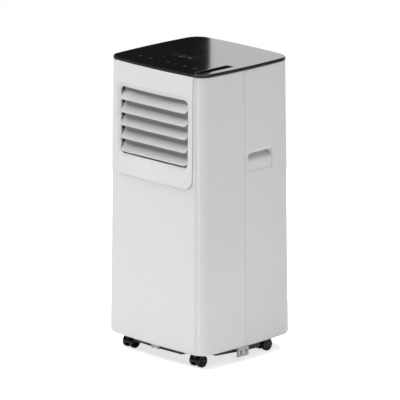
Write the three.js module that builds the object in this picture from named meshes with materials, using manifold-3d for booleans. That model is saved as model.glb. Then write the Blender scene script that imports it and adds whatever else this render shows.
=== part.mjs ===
// A slim portable air conditioner on four twin-wheel casters.
// Millimetres, +Z up, the front looks along -Y. The origin is on the floor, under the middle of
// the object's box. Every length below can be changed by itself; the pieces take theirs from it.
import * as THREE from 'three';
import { mergeVertices } from 'three/addons/utils/BufferGeometryUtils.js';
import Module from 'manifold-3d';

const wasm = await Module();
wasm.setup();

// ---------------------------------------------------------------- driving dimensions
const bodyWidth = 318.7; // at the foot of the casing
const bodyDepth = 302.2;
const casingFoot = 35; // casing's lower edge above the floor
const casingTop = 659;
const draftX = 7.6; // how far each side leans in over the whole height
const draftY = 7.0;
const sideBow = 7; // how far the middle of a side stands out
const endBow = 7.5; // the same for front and back
const frontCornerRadius = 27;
const rearCornerRadius = 32;
const footRadius = 8; // rounding under the casing
const wall = 2.5;
const fitGap = 0.3; // between pieces that touch or sit in each other
const seamY = -15; // where the front and rear shells meet

const rimHeight = 7.5;
const rimOverhang = 1;
const glassThickness = 4;
const glassInset = 1.6;
const glassProud = 1.5;
const slotWidth = 20;
const slotLength = 100;
const slotDepth = 22;
const slotSideInset = 32; // slot's middle line to the top's widest point
const slotFrontInset = 19;

const insertHalfWidth = 122; // U-shaped outlet insert
const insertDrop = 250; // insert's lower edge below the casing's top
const insertCornerRadius = 22;
const insertThickness = 9;
const louverHalfWidth = 104.5;
const louverHeight = 150.4;
const louverTopDrop = 53;
const louverCornerRadius = 9;
const dishDepth = 5;
const dishSide = 7.5;
const dishTop = 9.5;
const dishBottom = 31;

const slatCount = 5;
const slatPitch = 29.4;
const slatThickness = 2.2;
const slatTip = [-14, -15]; // y and z from the pivot
const slatBack = [6, 12];
const slatCup = 2.2;
const slatEndGap = 1.3;
const slatPinRadius = 2.5;
const slatPivotBehindFront = 14.2;
const slatTipAboveLip = 4.4;
const crankArm = 15;
const crankPinRadius = 1.5;
const linkThickness = 3;
const linkWidth = 7;
const linkInset = 4.5; // link's middle to the slat's end

const ductGap = 2.5; // louver opening to the duct's inner side
const ductWall = 2.5;
const ductDepth = 69;
const ductBackReach = 128; // upper branch of the duct, over the scroll
const ductBranchHeight = 60;

const handleLength = 78;
const handleHeight = 43;
const handleFrontY = -4;
const handleBottomZ = 430;
const handleDepth = 30;
const handleCornerRadius = 10;
const handleWall = 2;

const grilleHalfWidth = 115;
const grilleThickness = 6;
const grilleCornerRadius = 8;
const grilleBar = 6;
const grilleSlot = 12;
const upperGrilleBottom = 405;
const upperGrilleTop = 635;
const lowerGrilleBottom = 75;
const deckBelowGrille = 29; // partition deck under the upper grille
const filterThickness = 4;
const filterCellCount = 4;

const collarBelowDeck = 1; // flange to the deck between the two halves
const collarBore = 132;
const collarWall = 2.5;
const collarFlange = 9;
const collarDepth = 12; // collar's inner end, inside the casing's back
const rearStandoff = 26; // collar's rim behind the casing

const panDepth = 24;
const panFloor = 3;
const panInset = 6; // pan's side to the casing's foot opening
const bellyFrontZ = 29;
const bellyRearZ = 14;

const wheelRadius = 14;
const wheelWidth = 8.5;
const wheelGapHalf = 6.5; // caster's middle to a wheel's inner face
const axleRadius = 2;
const casterTrail = 8;
const casterStemRadius = 4;
const frontCasterX = 106;
const rearCasterX = 115;
const frontCasterY = -118;
const rearCasterY = 77;
const casterWell = 30;

const coilThickness = 34;
const coilHalfWidth = 118;
const coilBehind = 22; // coil to the casing's back
const bladeCount = 14;
const upperBlowerRadius = 58;
const lowerBlowerRadius = 62;
const scrollDepth = 62;
const scrollWall = 2;
const compressorRadius = 50;
const compressorHeight = 165;

// ---------------------------------------------------------------- worked out from them
const casingHeight = casingTop - casingFoot;
const louverTop = casingTop - louverTopDrop;
const louverBottom = louverTop - louverHeight;
const ductHalfWidth = louverHalfWidth + ductGap;
const deckZ = upperGrilleBottom - deckBelowGrille;
const flangeRadius = collarBore / 2 + collarFlange;
const collarZ = deckZ - collarBelowDeck - flangeRadius;
const lowerGrilleTop = collarZ - flangeRadius; // right under the flange
const rimZ = casingTop + fitGap;
const floorZ = casingFoot + panFloor;

// ---------------------------------------------------------------- materials
function plastic(color, roughness) {
  return new THREE.MeshStandardMaterial({ color, roughness, metalness: 0 });
}

function metal(color, roughness) {
  return new THREE.MeshStandardMaterial({ color, roughness, metalness: 1 });
}

const whitePlastic = () => plastic(0xe6e6e6, 0.42);
const greyPlastic = () => plastic(0xb9bbbc, 0.5);
const blackPlastic = () => plastic(0x161616, 0.5);
const foam = () => plastic(0xdfe0dc, 0.85);
const copper = () => metal(0xb87a52, 0.35);
const aluminium = () => metal(0xb8bcc0, 0.4);
const blackSteel = () => plastic(0x202124, 0.4);

// ---------------------------------------------------------------- solids
function toSolid(geometry) {
  const bare = geometry.clone();
  bare.deleteAttribute('normal');
  bare.deleteAttribute('uv');
  const merged = mergeVertices(bare, 1e-4);
  const index = merged.index.array;
  const triangles = [];
  for (let i = 0; i < index.length; i += 3) {
    const [a, b, c] = [index[i], index[i + 1], index[i + 2]];
    if (a !== b && b !== c && c !== a) triangles.push(a, b, c);
  }
  return new wasm.Manifold(new wasm.Mesh({
    numProp: 3,
    vertProperties: Float32Array.from(merged.attributes.position.array),
    triVerts: Uint32Array.from(triangles),
  }));
}

function toGeometry(solid) {
  const mesh = solid.getMesh();
  const geometry = new THREE.BufferGeometry();
  geometry.setAttribute('position', new THREE.BufferAttribute(mesh.vertProperties, 3));
  geometry.setIndex(new THREE.BufferAttribute(mesh.triVerts, 1));
  const flat = geometry.toNonIndexed();
  flat.computeVertexNormals();
  return flat;
}

function block(low, high) {
  const size = high.map((value, axis) => value - low[axis]);
  const geometry = new THREE.BoxGeometry(...size);
  geometry.translate(...low.map((value, axis) => value + size[axis] / 2));
  return toSolid(geometry);
}

function rod(from, to, radius, sides = 20) {
  const start = new THREE.Vector3(...from);
  const along = new THREE.Vector3(...to).sub(start);
  const geometry = new THREE.CylinderGeometry(radius, radius, along.length(), sides);
  geometry.translate(0, along.length() / 2, 0);
  const up = new THREE.Vector3(0, 1, 0);
  geometry.applyQuaternion(new THREE.Quaternion().setFromUnitVectors(up, along.normalize()));
  geometry.translate(start.x, start.y, start.z);
  return toSolid(geometry);
}

// A flat outline pushed along an axis. Along x it is drawn in y and z, along y in x and z.
function prism(shape, axis, from, to) {
  const steps = 4;
  const options = { depth: to - from, bevelEnabled: false, curveSegments: steps };
  const geometry = new THREE.ExtrudeGeometry(shape, options);
  const turn = new THREE.Matrix4();
  if (axis === 'x') {
    turn.makeBasis(new THREE.Vector3(0, 1, 0), new THREE.Vector3(0, 0, 1), new THREE.Vector3(1, 0, 0));
    turn.setPosition(from, 0, 0);
  } else if (axis === 'y') {
    turn.makeBasis(new THREE.Vector3(1, 0, 0), new THREE.Vector3(0, 0, 1), new THREE.Vector3(0, -1, 0));
    turn.setPosition(0, to, 0);
  } else {
    turn.setPosition(0, 0, from);
  }
  geometry.applyMatrix4(turn);
  return toSolid(geometry);
}

function polygon(points) {
  return new THREE.Shape(points.map(([x, y]) => new THREE.Vector2(x, y)));
}

// Corner radii run from the lower left, anticlockwise.
function roundedShape(x0, y0, x1, y1, radii) {
  const [lowerLeft, lowerRight, upperRight, upperLeft] = radii;
  const shape = new THREE.Shape();
  shape.moveTo(x0 + lowerLeft, y0);
  shape.lineTo(x1 - lowerRight, y0);
  if (lowerRight) shape.absarc(x1 - lowerRight, y0 + lowerRight, lowerRight, -Math.PI / 2, 0);
  shape.lineTo(x1, y1 - upperRight);
  if (upperRight) shape.absarc(x1 - upperRight, y1 - upperRight, upperRight, 0, Math.PI / 2);
  shape.lineTo(x0 + upperLeft, y1);
  if (upperLeft) shape.absarc(x0 + upperLeft, y1 - upperLeft, upperLeft, Math.PI / 2, Math.PI);
  shape.lineTo(x0, y0 + lowerLeft);
  if (lowerLeft) shape.absarc(x0 + lowerLeft, y0 + lowerLeft, lowerLeft, Math.PI, Math.PI * 1.5);
  return shape;
}

// A closed skin over rings of points; seen from the last ring, every ring runs anticlockwise.
function loft(rings, flatten) {
  const count = rings[0].length;
  const positions = rings.flat().flatMap((point) => [point.x, point.y, point.z]);
  const index = [];
  for (let ring = 0; ring < rings.length - 1; ring += 1) {
    for (let i = 0; i < count; i += 1) {
      const a = ring * count + i;
      const b = ring * count + ((i + 1) % count);
      index.push(a, b, b + count, a, b + count, a + count);
    }
  }
  const last = (rings.length - 1) * count;
  for (const [a, b, c] of THREE.ShapeUtils.triangulateShape(rings[0].map(flatten), [])) {
    index.push(a, c, b, last + a, last + b, last + c);
  }
  const geometry = new THREE.BufferGeometry();
  geometry.setAttribute('position', new THREE.Float32BufferAttribute(positions, 3));
  geometry.setIndex(index);
  return toSolid(geometry);
}

function lathe(profile, sides = 24) {
  const points = profile.map(([radius, height]) => new THREE.Vector2(radius, height));
  return new THREE.LatheGeometry(points, sides);
}

function joined(solids) {
  return solids.reduce((sum, solid) => sum.add(solid));
}

const part = new THREE.Group();
const body = new THREE.Group();
body.position.y = -rearStandoff / 2;
part.add(body);

function place(name, solid, material, parent = body) {
  const mesh = new THREE.Mesh(toGeometry(solid), material);
  mesh.name = name;
  parent.add(mesh);
  return mesh;
}

// ---------------------------------------------------------------- casing surface
function planHalves(z) {
  const rise = (z - casingFoot) / casingHeight;
  return {
    x: bodyWidth / 2 - draftX * rise - sideBow,
    y: bodyDepth / 2 - draftY * rise - endBow,
  };
}

function footInset(z) {
  const below = Math.max(0, footRadius - (z - casingFoot));
  return footRadius - Math.sqrt(Math.max(0, footRadius ** 2 - below ** 2));
}

// The plan outline at a height: a rounded rectangle whose four sides bow outwards.
function planRing(z, inset, height = z) {
  const half = planHalves(z);
  half.x -= inset;
  half.y -= inset;
  const cornerSteps = 5;
  const sideSteps = 5;
  const front = Math.max(2, frontCornerRadius - inset);
  const rear = Math.max(2, rearCornerRadius - inset);
  const corners = [
    [half.x - front, front - half.y, front, -90],
    [half.x - rear, half.y - rear, rear, 0],
    [rear - half.x, half.y - rear, rear, 90],
    [front - half.x, front - half.y, front, 180],
  ];
  const arcs = corners.map(([x, y, radius, startDeg]) => {
    const arc = [];
    for (let i = 0; i <= cornerSteps; i += 1) {
      const angle = THREE.MathUtils.degToRad(startDeg + (90 * i) / cornerSteps);
      arc.push(new THREE.Vector2(x + radius * Math.cos(angle), y + radius * Math.sin(angle)));
    }
    return arc;
  });
  const flat = arcs.flatMap((arc, corner) => {
    const end = arc[cornerSteps];
    const nextStart = arcs[(corner + 1) % arcs.length][0];
    const between = [];
    for (let i = 1; i < sideSteps; i += 1) between.push(end.clone().lerp(nextStart, i / sideSteps));
    return [...arc, ...between];
  });
  return flat.map(({ x, y }) => new THREE.Vector3(
    x + (x / half.x) * sideBow * (1 - (y / half.y) ** 2),
    y + (y / half.y) * endBow * (1 - (x / half.x) ** 2),
    height,
  ));
}

function seenFromAbove({ x, y }) {
  return new THREE.Vector2(x, y);
}

function casingSolid(inset) {
  const footLevels = [0, 0.3, 1].map((share) => casingFoot + share * footRadius);
  const rings = footLevels.map((z) => planRing(z, inset + footInset(z)));
  rings.push(planRing(casingTop, inset));
  return loft(rings, seenFromAbove);
}

// y of the casing's front, or of its back, at a place on it.
function endY(x, z, side) {
  const half = planHalves(z);
  return side * (half.y + endBow * (1 - (x / half.x) ** 2));
}

// Clear of the casing's back all round a place, out to a reach.
function behindBack(x, z, reach) {
  return endY(Math.max(0, Math.abs(x) - reach), z - reach, 1) + fitGap;
}

const outside = casingSolid(0);
const inside = casingSolid(wall);
const farX = bodyWidth;
const farY = bodyDepth;

// ---------------------------------------------------------------- shapes that cut and fill
function insertShape(gap) {
  const half = insertHalfWidth - gap;
  const radius = insertCornerRadius;
  const bottom = casingTop - insertDrop + gap;
  return roundedShape(-half, bottom, half, casingTop + gap, [radius, radius, 0, 0]);
}

function handleShape(gap) {
  const radius = handleCornerRadius;
  return roundedShape(handleFrontY + gap, handleBottomZ + gap, handleFrontY + handleLength - gap,
    handleBottomZ + handleHeight - gap, [1, 1, radius, radius]);
}

function grilleShape(bottom, top, gap) {
  const half = grilleHalfWidth - gap;
  return roundedShape(-half, bottom + gap, half, top - gap, Array(4).fill(grilleCornerRadius));
}

const drains = [
  { name: 'lower_drain_cap', x: 0, z: casingFoot + 22, radius: 7 },
  { name: 'middle_drain_cap', x: -grilleHalfWidth + 14, z: deckZ + 9, radius: 6 },
];
const gland = { x: 104, z: 248, radius: 7, standoff: 9 };

// ---------------------------------------------------------------- casing
function buildShells() {
  const skin = outside.subtract(inside);
  const frontHalf = block([-farX, -farY, 0], [farX, seamY - fitGap / 2, casingTop * 2]);
  const rearHalf = block([-farX, seamY + fitGap / 2, 0], [farX, farY, casingTop * 2]);
  const front = skin.intersect(frontHalf).subtract(prism(insertShape(0), 'y', -farY, 0));
  place('front_shell', front, whitePlastic());

  let rear = skin.intersect(rearHalf);
  rear = rear.subtract(prism(handleShape(0), 'x', -farX, farX));
  rear = rear.subtract(prism(grilleShape(upperGrilleBottom, upperGrilleTop, 0), 'y', 0, farY));
  rear = rear.subtract(prism(grilleShape(lowerGrilleBottom, lowerGrilleTop, 0), 'y', 0, farY));
  rear = rear.subtract(rod([0, 0, collarZ], [0, farY, collarZ], collarBore / 2 + collarWall + fitGap, 32));
  for (const { x, z, radius } of [...drains, gland]) {
    rear = rear.subtract(rod([x, 0, z], [x, farY, z], radius, 16));
  }
  place('rear_shell', rear, whitePlastic());
}

// The four casters' swivel axes, and the way each one's wheels trail.
const casters = [
  { name: 'front_left', x: -frontCasterX, y: frontCasterY },
  { name: 'front_right', x: frontCasterX, y: frontCasterY },
  { name: 'rear_left', x: -rearCasterX, y: rearCasterY },
  { name: 'rear_right', x: rearCasterX, y: rearCasterY },
];

function buildBasePan() {
  const outline = footRadius + wall + panInset;
  const lipTop = casingFoot + panDepth;
  const half = planHalves(casingFoot);
  const frontEdge = outline - half.y - endBow;
  const rearEdge = -frontEdge;
  const socketTop = lipTop - 4;
  const socketWall = 4;
  const side = polygon([[frontEdge, bellyFrontZ], [rearEdge, bellyRearZ], [rearEdge, floorZ],
    [frontEdge, floorZ]]);
  const panPlan = (inset, low, high) => loft(
    [planRing(casingFoot, inset, low), planRing(casingFoot, inset, high)], seenFromAbove);
  const hollow = panPlan(outline + wall, floorZ, casingTop);
  let belly = prism(side, 'x', -farX, farX).intersect(panPlan(outline, 0, floorZ));
  for (const { x, y } of casters) {
    const acrossX = [x - Math.sign(x) * casterWell, Math.sign(x) * farX].sort((a, b) => a - b);
    const alongY = [y - Math.sign(y) * casterWell, Math.sign(y) * farY].sort((a, b) => a - b);
    belly = belly.subtract(block([acrossX[0], alongY[0], 0], [acrossX[1], alongY[1], casingFoot]));
  }
  let pan = panPlan(outline, casingFoot, lipTop).subtract(hollow).add(belly);
  for (const { x, y } of casters) {
    const socket = rod([x, y, casingFoot], [x, y, socketTop], casterStemRadius + socketWall, 16);
    const bore = rod([x, y, 0], [x, y, socketTop - socketWall], casterStemRadius + fitGap, 16);
    pan = pan.add(socket).subtract(bore);
  }
  const { x, z, radius } = drains[0];
  pan = pan.subtract(rod([x, rearEdge - wall * 2, z], [x, rearEdge + wall, z], radius, 16));
  place('base_pan', pan, blackPlastic());
}

// ---------------------------------------------------------------- air outlet
const pivotY = endY(0, louverBottom, -1) + slatPivotBehindFront;
const firstPivotZ = louverBottom + slatTipAboveLip - slatTip[1];
const pivotHeights = Array.from({ length: slatCount }, (_, i) => firstPivotZ + i * slatPitch);
const slatHalf = louverHalfWidth - slatEndGap;
const linkX = slatHalf - linkInset;
const ductFrontY = pivotY - slatPinRadius - 0.8;
const drivenSlat = Math.floor(slatCount / 2);
const motorRadius = 12;
const motorLength = 16;
const motorShaftOffset = 8;
const motorEar = 6;
const motorX = -ductHalfWidth - ductWall - fitGap;
const motorY = pivotY + motorShaftOffset;
const motorZ = pivotHeights[drivenSlat];

function seenFromFront({ x, z }) {
  return new THREE.Vector2(x, z);
}

// Rounded rectangle on the casing's front, set back by a depth.
function frontRing(halfWidth, bottom, top, radius, depth) {
  const outline = roundedShape(-halfWidth, bottom, halfWidth, top, Array(4).fill(radius));
  const points = outline.extractPoints(3).shape;
  return points.map(({ x, y }) => new THREE.Vector3(x, endY(x, y, -1) + depth, y));
}

function buildOutletPanel() {
  const slab = outside.subtract(casingSolid(insertThickness));
  const opening = [louverHalfWidth, louverBottom, louverTop, louverCornerRadius];
  const mouth = [louverHalfWidth + dishSide, louverBottom - dishBottom, louverTop + dishTop,
    louverCornerRadius + dishSide];
  const proud = 0.5;
  const dish = loft([
    frontRing(...opening, dishDepth),
    frontRing(...mouth, -proud),
    frontRing(...mouth, -insertThickness),
  ], seenFromFront);
  const hole = roundedShape(-louverHalfWidth, louverBottom, louverHalfWidth, louverTop,
    Array(4).fill(louverCornerRadius));
  const ductSide = ductHalfWidth + ductWall + fitGap;
  const ductSpace = block([-ductSide, ductFrontY - fitGap, louverBottom - ductGap - ductWall - fitGap],
    [ductSide, 0, louverTop + ductGap + ductWall + fitGap]);
  const motorReach = motorRadius + motorEar + fitGap;
  const motorSpace = block(
    [motorX - motorLength - fitGap, motorY - motorRadius - fitGap, motorZ - motorReach],
    [motorX + 1, 0, motorZ + motorReach]);
  const panel = slab.intersect(prism(insertShape(fitGap), 'y', -farY, 0)).subtract(dish)
    .subtract(prism(hole, 'y', -farY, 0)).subtract(ductSpace).subtract(motorSpace);
  place('outlet_panel', panel, whitePlastic());
}

// The slat's section in y and z about its pivot: a cupped strip of even thickness.
function slatSection() {
  const tip = new THREE.Vector2(...slatTip);
  const back = new THREE.Vector2(...slatBack);
  const chord = back.clone().sub(tip).normalize();
  const normal = new THREE.Vector2(-chord.y, chord.x);
  const middle = tip.clone().lerp(back, 0.5).addScaledVector(normal, -2 * slatCup);
  const line = new THREE.QuadraticBezierCurve(tip, middle, back).getPoints(4);
  const shifted = (offset) => line.map((point) => point.clone().addScaledVector(normal, offset));
  return new THREE.Shape([...shifted(-slatThickness / 2), ...shifted(slatThickness / 2).reverse()]);
}

function slatSolid(pinReach) {
  const low = slatTip[1] - slatThickness;
  const high = slatBack[1] + slatThickness;
  const front = roundedShape(-slatHalf, low, slatHalf, high,
    [louverCornerRadius, louverCornerRadius, 1, 1]);
  const notchHalf = linkThickness / 2 + 0.6;
  const lugThickness = 2.5;
  const pinOut = linkX + notchHalf + 0.4;
  const lugLow = linkX - notchHalf - lugThickness;
  const notch = block([linkX - notchHalf, 1.2, low], [linkX + notchHalf, farY, high]);
  const lug = block([lugLow, -1, -crankPinRadius - 1.5],
    [linkX - notchHalf, crankArm + crankPinRadius + 1.5, crankPinRadius + 1.5]);
  const crankPin = rod([lugLow + 1, crankArm, 0], [pinOut, crankArm, 0], crankPinRadius, 12);
  const pinRoot = slatHalf - 3;
  const pins = rod([-pinReach, 0, 0], [-pinRoot, 0, 0], slatPinRadius, 12)
    .add(rod([pinRoot, 0, 0], [ductHalfWidth + ductWall - 0.5, 0, 0], slatPinRadius, 12));
  return prism(slatSection(), 'x', -slatHalf, slatHalf).intersect(prism(front, 'y', -farY, farY))
    .subtract(notch).add(lug).add(crankPin).add(pins);
}

function buildSlats() {
  const pinReach = ductHalfWidth + ductWall - 0.5;
  const drivenReach = pinReach + 9;
  pivotHeights.forEach((z, i) => {
    const reach = i === drivenSlat ? drivenReach : pinReach;
    const slat = place(`louver_slat_${i + 1}`, slatSolid(reach), whitePlastic());
    slat.position.set(0, pivotY, z);
  });
  const edge = linkWidth / 2;
  const top = (slatCount - 1) * slatPitch;
  let link = block([-linkThickness / 2, -edge, -edge], [linkThickness / 2, edge, top + edge]);
  for (let i = 0; i < slatCount; i += 1) {
    const z = i * slatPitch;
    link = link.subtract(rod([-linkThickness, 0, z], [linkThickness, 0, z], crankPinRadius + fitGap, 12));
  }
  place('louver_link', link, greyPlastic()).position.set(linkX, pivotY + crankArm, firstPivotZ);

  let motor = rod([motorX - motorLength, motorY, motorZ], [motorX, motorY, motorZ], motorRadius, 24);
  motor = motor.add(block([motorX - 2, motorY - 3, motorZ - motorRadius - motorEar],
    [motorX, motorY + 3, motorZ + motorRadius + motorEar]));
  motor = motor.subtract(rod([motorX - 10, pivotY, motorZ], [motorX + 1, pivotY, motorZ],
    slatPinRadius + fitGap, 12));
  place('swing_motor', motor, greyPlastic());
}

// Upper scroll's mouth, which the duct's branch sits on.
const upperFanY = [-8, -8 + scrollDepth];
const ductBottom = louverBottom - ductGap - ductWall;
const ductTop = louverTop + ductGap + ductWall;
const branchBottom = ductTop - ductBranchHeight;
const scrollMouthInner = 4;
const scrollMouthWidth = 74;

function buildOutletDuct() {
  const rear = ductFrontY + ductDepth;
  const far = ductFrontY + ductDepth + ductBackReach;
  const outline = (t) => polygon([
    [ductFrontY - (t ? 5 : 0), ductBottom + t], [rear - t, ductBottom + t], [rear - t, branchBottom + t],
    [far - t, branchBottom + t], [far - t, ductTop - t], [ductFrontY - (t ? 5 : 0), ductTop - t],
  ]);
  const sideOut = ductHalfWidth + ductWall;
  let duct = prism(outline(0), 'x', -sideOut, sideOut)
    .subtract(prism(outline(ductWall), 'x', -ductHalfWidth, ductHalfWidth));
  duct = duct.subtract(block(
    [scrollMouthInner, upperFanY[0] + scrollWall, branchBottom - 1],
    [scrollMouthInner + scrollMouthWidth, upperFanY[1] - scrollWall, branchBottom + ductWall + 1]));
  for (const z of pivotHeights) {
    duct = duct.subtract(rod([-farX, pivotY, z], [farX, pivotY, z], slatPinRadius + fitGap, 12));
  }
  place('outlet_duct', duct, foam());
}

// ---------------------------------------------------------------- top
const topHalf = planHalves(casingTop);
const topHalfX = topHalf.x + sideBow + rimOverhang;
const topHalfY = topHalf.y + endBow + rimOverhang;
const slotX = [topHalfX - slotSideInset - slotWidth / 2, topHalfX - slotSideInset + slotWidth / 2];
const slotY = [slotFrontInset - topHalfY, slotFrontInset - topHalfY + slotLength];
const rimTop = rimZ + rimHeight;
const glassTop = rimTop + glassProud;

function slotShape(gap) {
  return roundedShape(slotX[0] - gap, slotY[0] - gap, slotX[1] + gap, slotY[1] + gap,
    Array(4).fill(3 + gap));
}

function buildTop() {
  const plan = (inset, low, high) => loft(
    [planRing(casingTop, inset, low), planRing(casingTop, inset, high)], seenFromAbove);
  const glassBottom = glassTop - glassThickness;
  const trayWall = 1.5;
  const skirtDepth = 8;
  const skirtInset = wall + fitGap;
  const skirt = plan(skirtInset, rimZ - skirtDepth, rimZ + 1)
    .subtract(plan(skirtInset + 2, rimZ - skirtDepth - 1, rimZ + 2));
  const insertBack = endY(insertHalfWidth, casingTop, -1) + insertThickness;
  const insertSpace = block([-insertHalfWidth - 1, -farY, casingTop - skirtDepth * 2],
    [insertHalfWidth + 1, insertBack + 1, rimZ - fitGap]);
  let rim = plan(-rimOverhang, rimZ, rimTop)
    .subtract(plan(glassInset - fitGap, glassBottom - fitGap, rimTop + 1));
  rim = rim.add(skirt.subtract(insertSpace));
  rim = rim.subtract(prism(slotShape(trayWall + fitGap), 'z', 0, rimTop + 1));
  place('top_rim', rim, blackPlastic());

  const glass = plan(glassInset, glassBottom, glassTop)
    .subtract(prism(slotShape(trayWall + fitGap), 'z', 0, glassTop + 1));
  place('top_glass', glass, new THREE.MeshStandardMaterial({ color: 0x0b0b0c, roughness: 0.06 }));

  const tray = prism(slotShape(trayWall), 'z', glassTop - slotDepth, glassTop)
    .subtract(prism(slotShape(0), 'z', glassTop - slotDepth + trayWall, glassTop + 1));
  place('slot_tray', tray, plastic(0x2a2a2b, 0.3));

  const boardTop = rimZ - fitGap;
  const boardX = slotX[0] - 8;
  const board = block([-boardX, slotY[0], boardTop - 9], [boardX, slotY[1] - 20, boardTop - 7.4])
    .add(block([-boardX / 3, slotY[0] + 50, boardTop - 7.4], [boardX / 3, slotY[1] - 26, boardTop - 1]))
    .add(block([-boardX / 2, slotY[0] + 10, boardTop - 15], [0, slotY[0] + 30, boardTop - 9]));
  place('control_board', board, plastic(0x1f5b3a, 0.5));
}

// ---------------------------------------------------------------- handles
function buildHandle(name, side) {
  const top = handleBottomZ + handleHeight;
  const surfaceX = planHalves(handleBottomZ).x + sideBow;
  const deepX = surfaceX - handleDepth;
  const insideX = deepX + handleWall;
  const scoopTop = top - handleHeight * 0.42;
  const outerSide = polygon([
    [side * farX, handleBottomZ - 1], [side * farX, top + 1], [side * deepX, top + 1],
    [side * deepX, scoopTop - handleWall], [side * (surfaceX - 10), handleBottomZ - 1],
  ]);
  const scoop = polygon([
    [side * farX, handleBottomZ + handleWall - 3], [side * farX, top - handleWall],
    [side * insideX, top - handleWall], [side * insideX, scoopTop],
    [side * (surfaceX - 2), handleBottomZ + handleWall - 0.5],
  ]);
  const sides = [side * deepX, side * farX].sort((a, b) => a - b);
  const outer = prism(outerSide, 'y', -farY, farY)
    .intersect(prism(handleShape(fitGap), 'x', ...sides)).intersect(outside);
  const hollow = prism(scoop, 'y', -farY, farY)
    .intersect(prism(handleShape(fitGap + handleWall), 'x', -farX, farX));
  place(name, outer.subtract(hollow), whitePlastic());
}

// ---------------------------------------------------------------- back
function slotCuts(bottom, top) {
  const rib = grilleBar;
  const edge = 9;
  const usable = top - bottom - edge * 2;
  const rows = Math.floor((usable + grilleBar) / (grilleSlot + grilleBar));
  const columns = 2;
  const width = (grilleHalfWidth * 2 - edge * 2 - rib * (columns - 1)) / columns;
  const start = bottom + edge + (usable - rows * (grilleSlot + grilleBar) + grilleBar) / 2;
  const cuts = [];
  for (let row = 0; row < rows; row += 1) {
    for (let column = 0; column < columns; column += 1) {
      const x = edge - grilleHalfWidth + column * (width + rib);
      const z = start + row * (grilleSlot + grilleBar);
      cuts.push(block([x, 0, z], [x + width, farY, z + grilleSlot]));
    }
  }
  return joined(cuts);
}

function buildGrille(name, bottom, top) {
  const grille = outside.subtract(casingSolid(grilleThickness))
    .intersect(prism(grilleShape(bottom, top, fitGap), 'y', 0, farY)).subtract(slotCuts(bottom, top));
  place(`${name}_grille`, grille, whitePlastic());

  const inset = 6;
  const bar = 2.5;
  const half = grilleHalfWidth - inset;
  const low = bottom + inset;
  const high = top - inset;
  const deepest = Math.min(endY(half, high, 1), endY(half, low, 1)) - grilleThickness - fitGap * 2;
  let filter = block([-half, deepest - filterThickness, low], [half, deepest, high]);
  const cellX = (half * 2 - bar) / filterCellCount;
  const cellZ = (high - low - bar) / filterCellCount;
  for (let i = 0; i < filterCellCount; i += 1) {
    for (let j = 0; j < filterCellCount; j += 1) {
      const x = bar - half + i * cellX;
      const z = low + bar + j * cellZ;
      filter = filter.subtract(block([x, 0, z], [x + cellX - bar, farY, z + cellZ - bar]));
    }
  }
  place(`${name}_filter`, filter, greyPlastic());
}

function buildCollar() {
  const bore = collarBore / 2;
  const backY = bodyDepth / 2 + rearStandoff;
  const faceY = endY(0, collarZ, 1);
  const flangeBack = behindBack(0, collarZ, bore + collarFlange);
  const rimBead = 1.5;
  const geometry = lathe([
    [bore, faceY - collarDepth], [bore + collarWall, faceY - collarDepth], [bore + collarWall, flangeBack],
    [bore + collarFlange, flangeBack], [bore + collarFlange, flangeBack + 2.5],
    [bore + collarWall, flangeBack + 2.5], [bore + collarWall, backY - 4],
    [bore + collarWall + rimBead, backY - 3], [bore + collarWall + rimBead, backY], [bore, backY],
    [bore, faceY - collarDepth],
  ], 32);
  place('duct_collar', toSolid(geometry), whitePlastic()).position.z = collarZ;
}

function buildCaps() {
  for (const { name, x, z, radius } of drains) {
    const surface = behindBack(x, z, radius + 3);
    const head = rod([x, surface, z], [x, surface + 3.5, z], radius + 3, 16);
    const plug = rod([x, surface - 9, z], [x, surface + 2, z], radius - fitGap, 16);
    const tab = block([x - 2, surface + 1.5, z - radius - 8], [x + 2, surface + 3.5, z - radius]);
    place(name, head.add(plug).add(tab), plastic(0x3a3a3c, 0.7));
  }
  const { x, z, radius, standoff } = gland;
  const surface = behindBack(x, z, radius + 3);
  const boss = rod([x, surface - 5, z], [x, surface + standoff, z], radius - fitGap, 16)
    .add(rod([x, surface + 2.2, z], [x, surface + 5.2, z], radius + 3, 16))
    .subtract(rod([x, surface - 6, z], [x, surface + standoff + 1, z], 3.2, 16));
  place('cord_gland', boss, blackPlastic());
}

// ---------------------------------------------------------------- casters
const casterTop = bellyFrontZ - 1;
const axleHalf = wheelGapHalf + wheelWidth - 1;

function hoodSolid() {
  const halfWeb = wheelGapHalf - 0.8;
  const hoodHalf = wheelGapHalf + wheelWidth * 0.55;
  const shellRadius = wheelRadius + 2.2;
  const thickness = 1.4;
  const arch = (radius) => {
    const shape = new THREE.Shape();
    shape.absarc(casterTrail, wheelRadius, radius, Math.PI * 0.12, Math.PI, false);
    return shape;
  };
  const cover = prism(arch(shellRadius), 'x', -hoodHalf, hoodHalf)
    .subtract(prism(arch(shellRadius - thickness), 'x', -farX, farX));
  const web = prism(arch(shellRadius), 'x', -halfWeb, halfWeb);
  const hub = rod([-halfWeb, casterTrail, wheelRadius], [halfWeb, casterTrail, wheelRadius], 6, 12);
  const neck = rod([0, 0, wheelRadius + 6], [0, 0, casterTop + 3], casterStemRadius + 2, 12);
  const stem = rod([0, 0, casterTop], [0, 0, casingFoot + panDepth - 10], casterStemRadius, 12);
  const bore = rod([-farX, casterTrail, wheelRadius], [farX, casterTrail, wheelRadius],
    axleRadius + fitGap, 10);
  return cover.add(web).add(hub).add(neck).add(stem).subtract(bore);
}

function wheelSolid() {
  const bore = axleRadius + fitGap;
  const round = 1.6;
  const geometry = lathe([
    [bore, 0], [wheelRadius - round, 0], [wheelRadius, round], [wheelRadius, wheelWidth - round],
    [wheelRadius - round, wheelWidth], [wheelRadius - 4, wheelWidth - 1.2], [bore, wheelWidth - 1.2],
    [bore, 0],
  ], 16);
  geometry.rotateZ(-Math.PI / 2);
  return toSolid(geometry);
}

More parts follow.
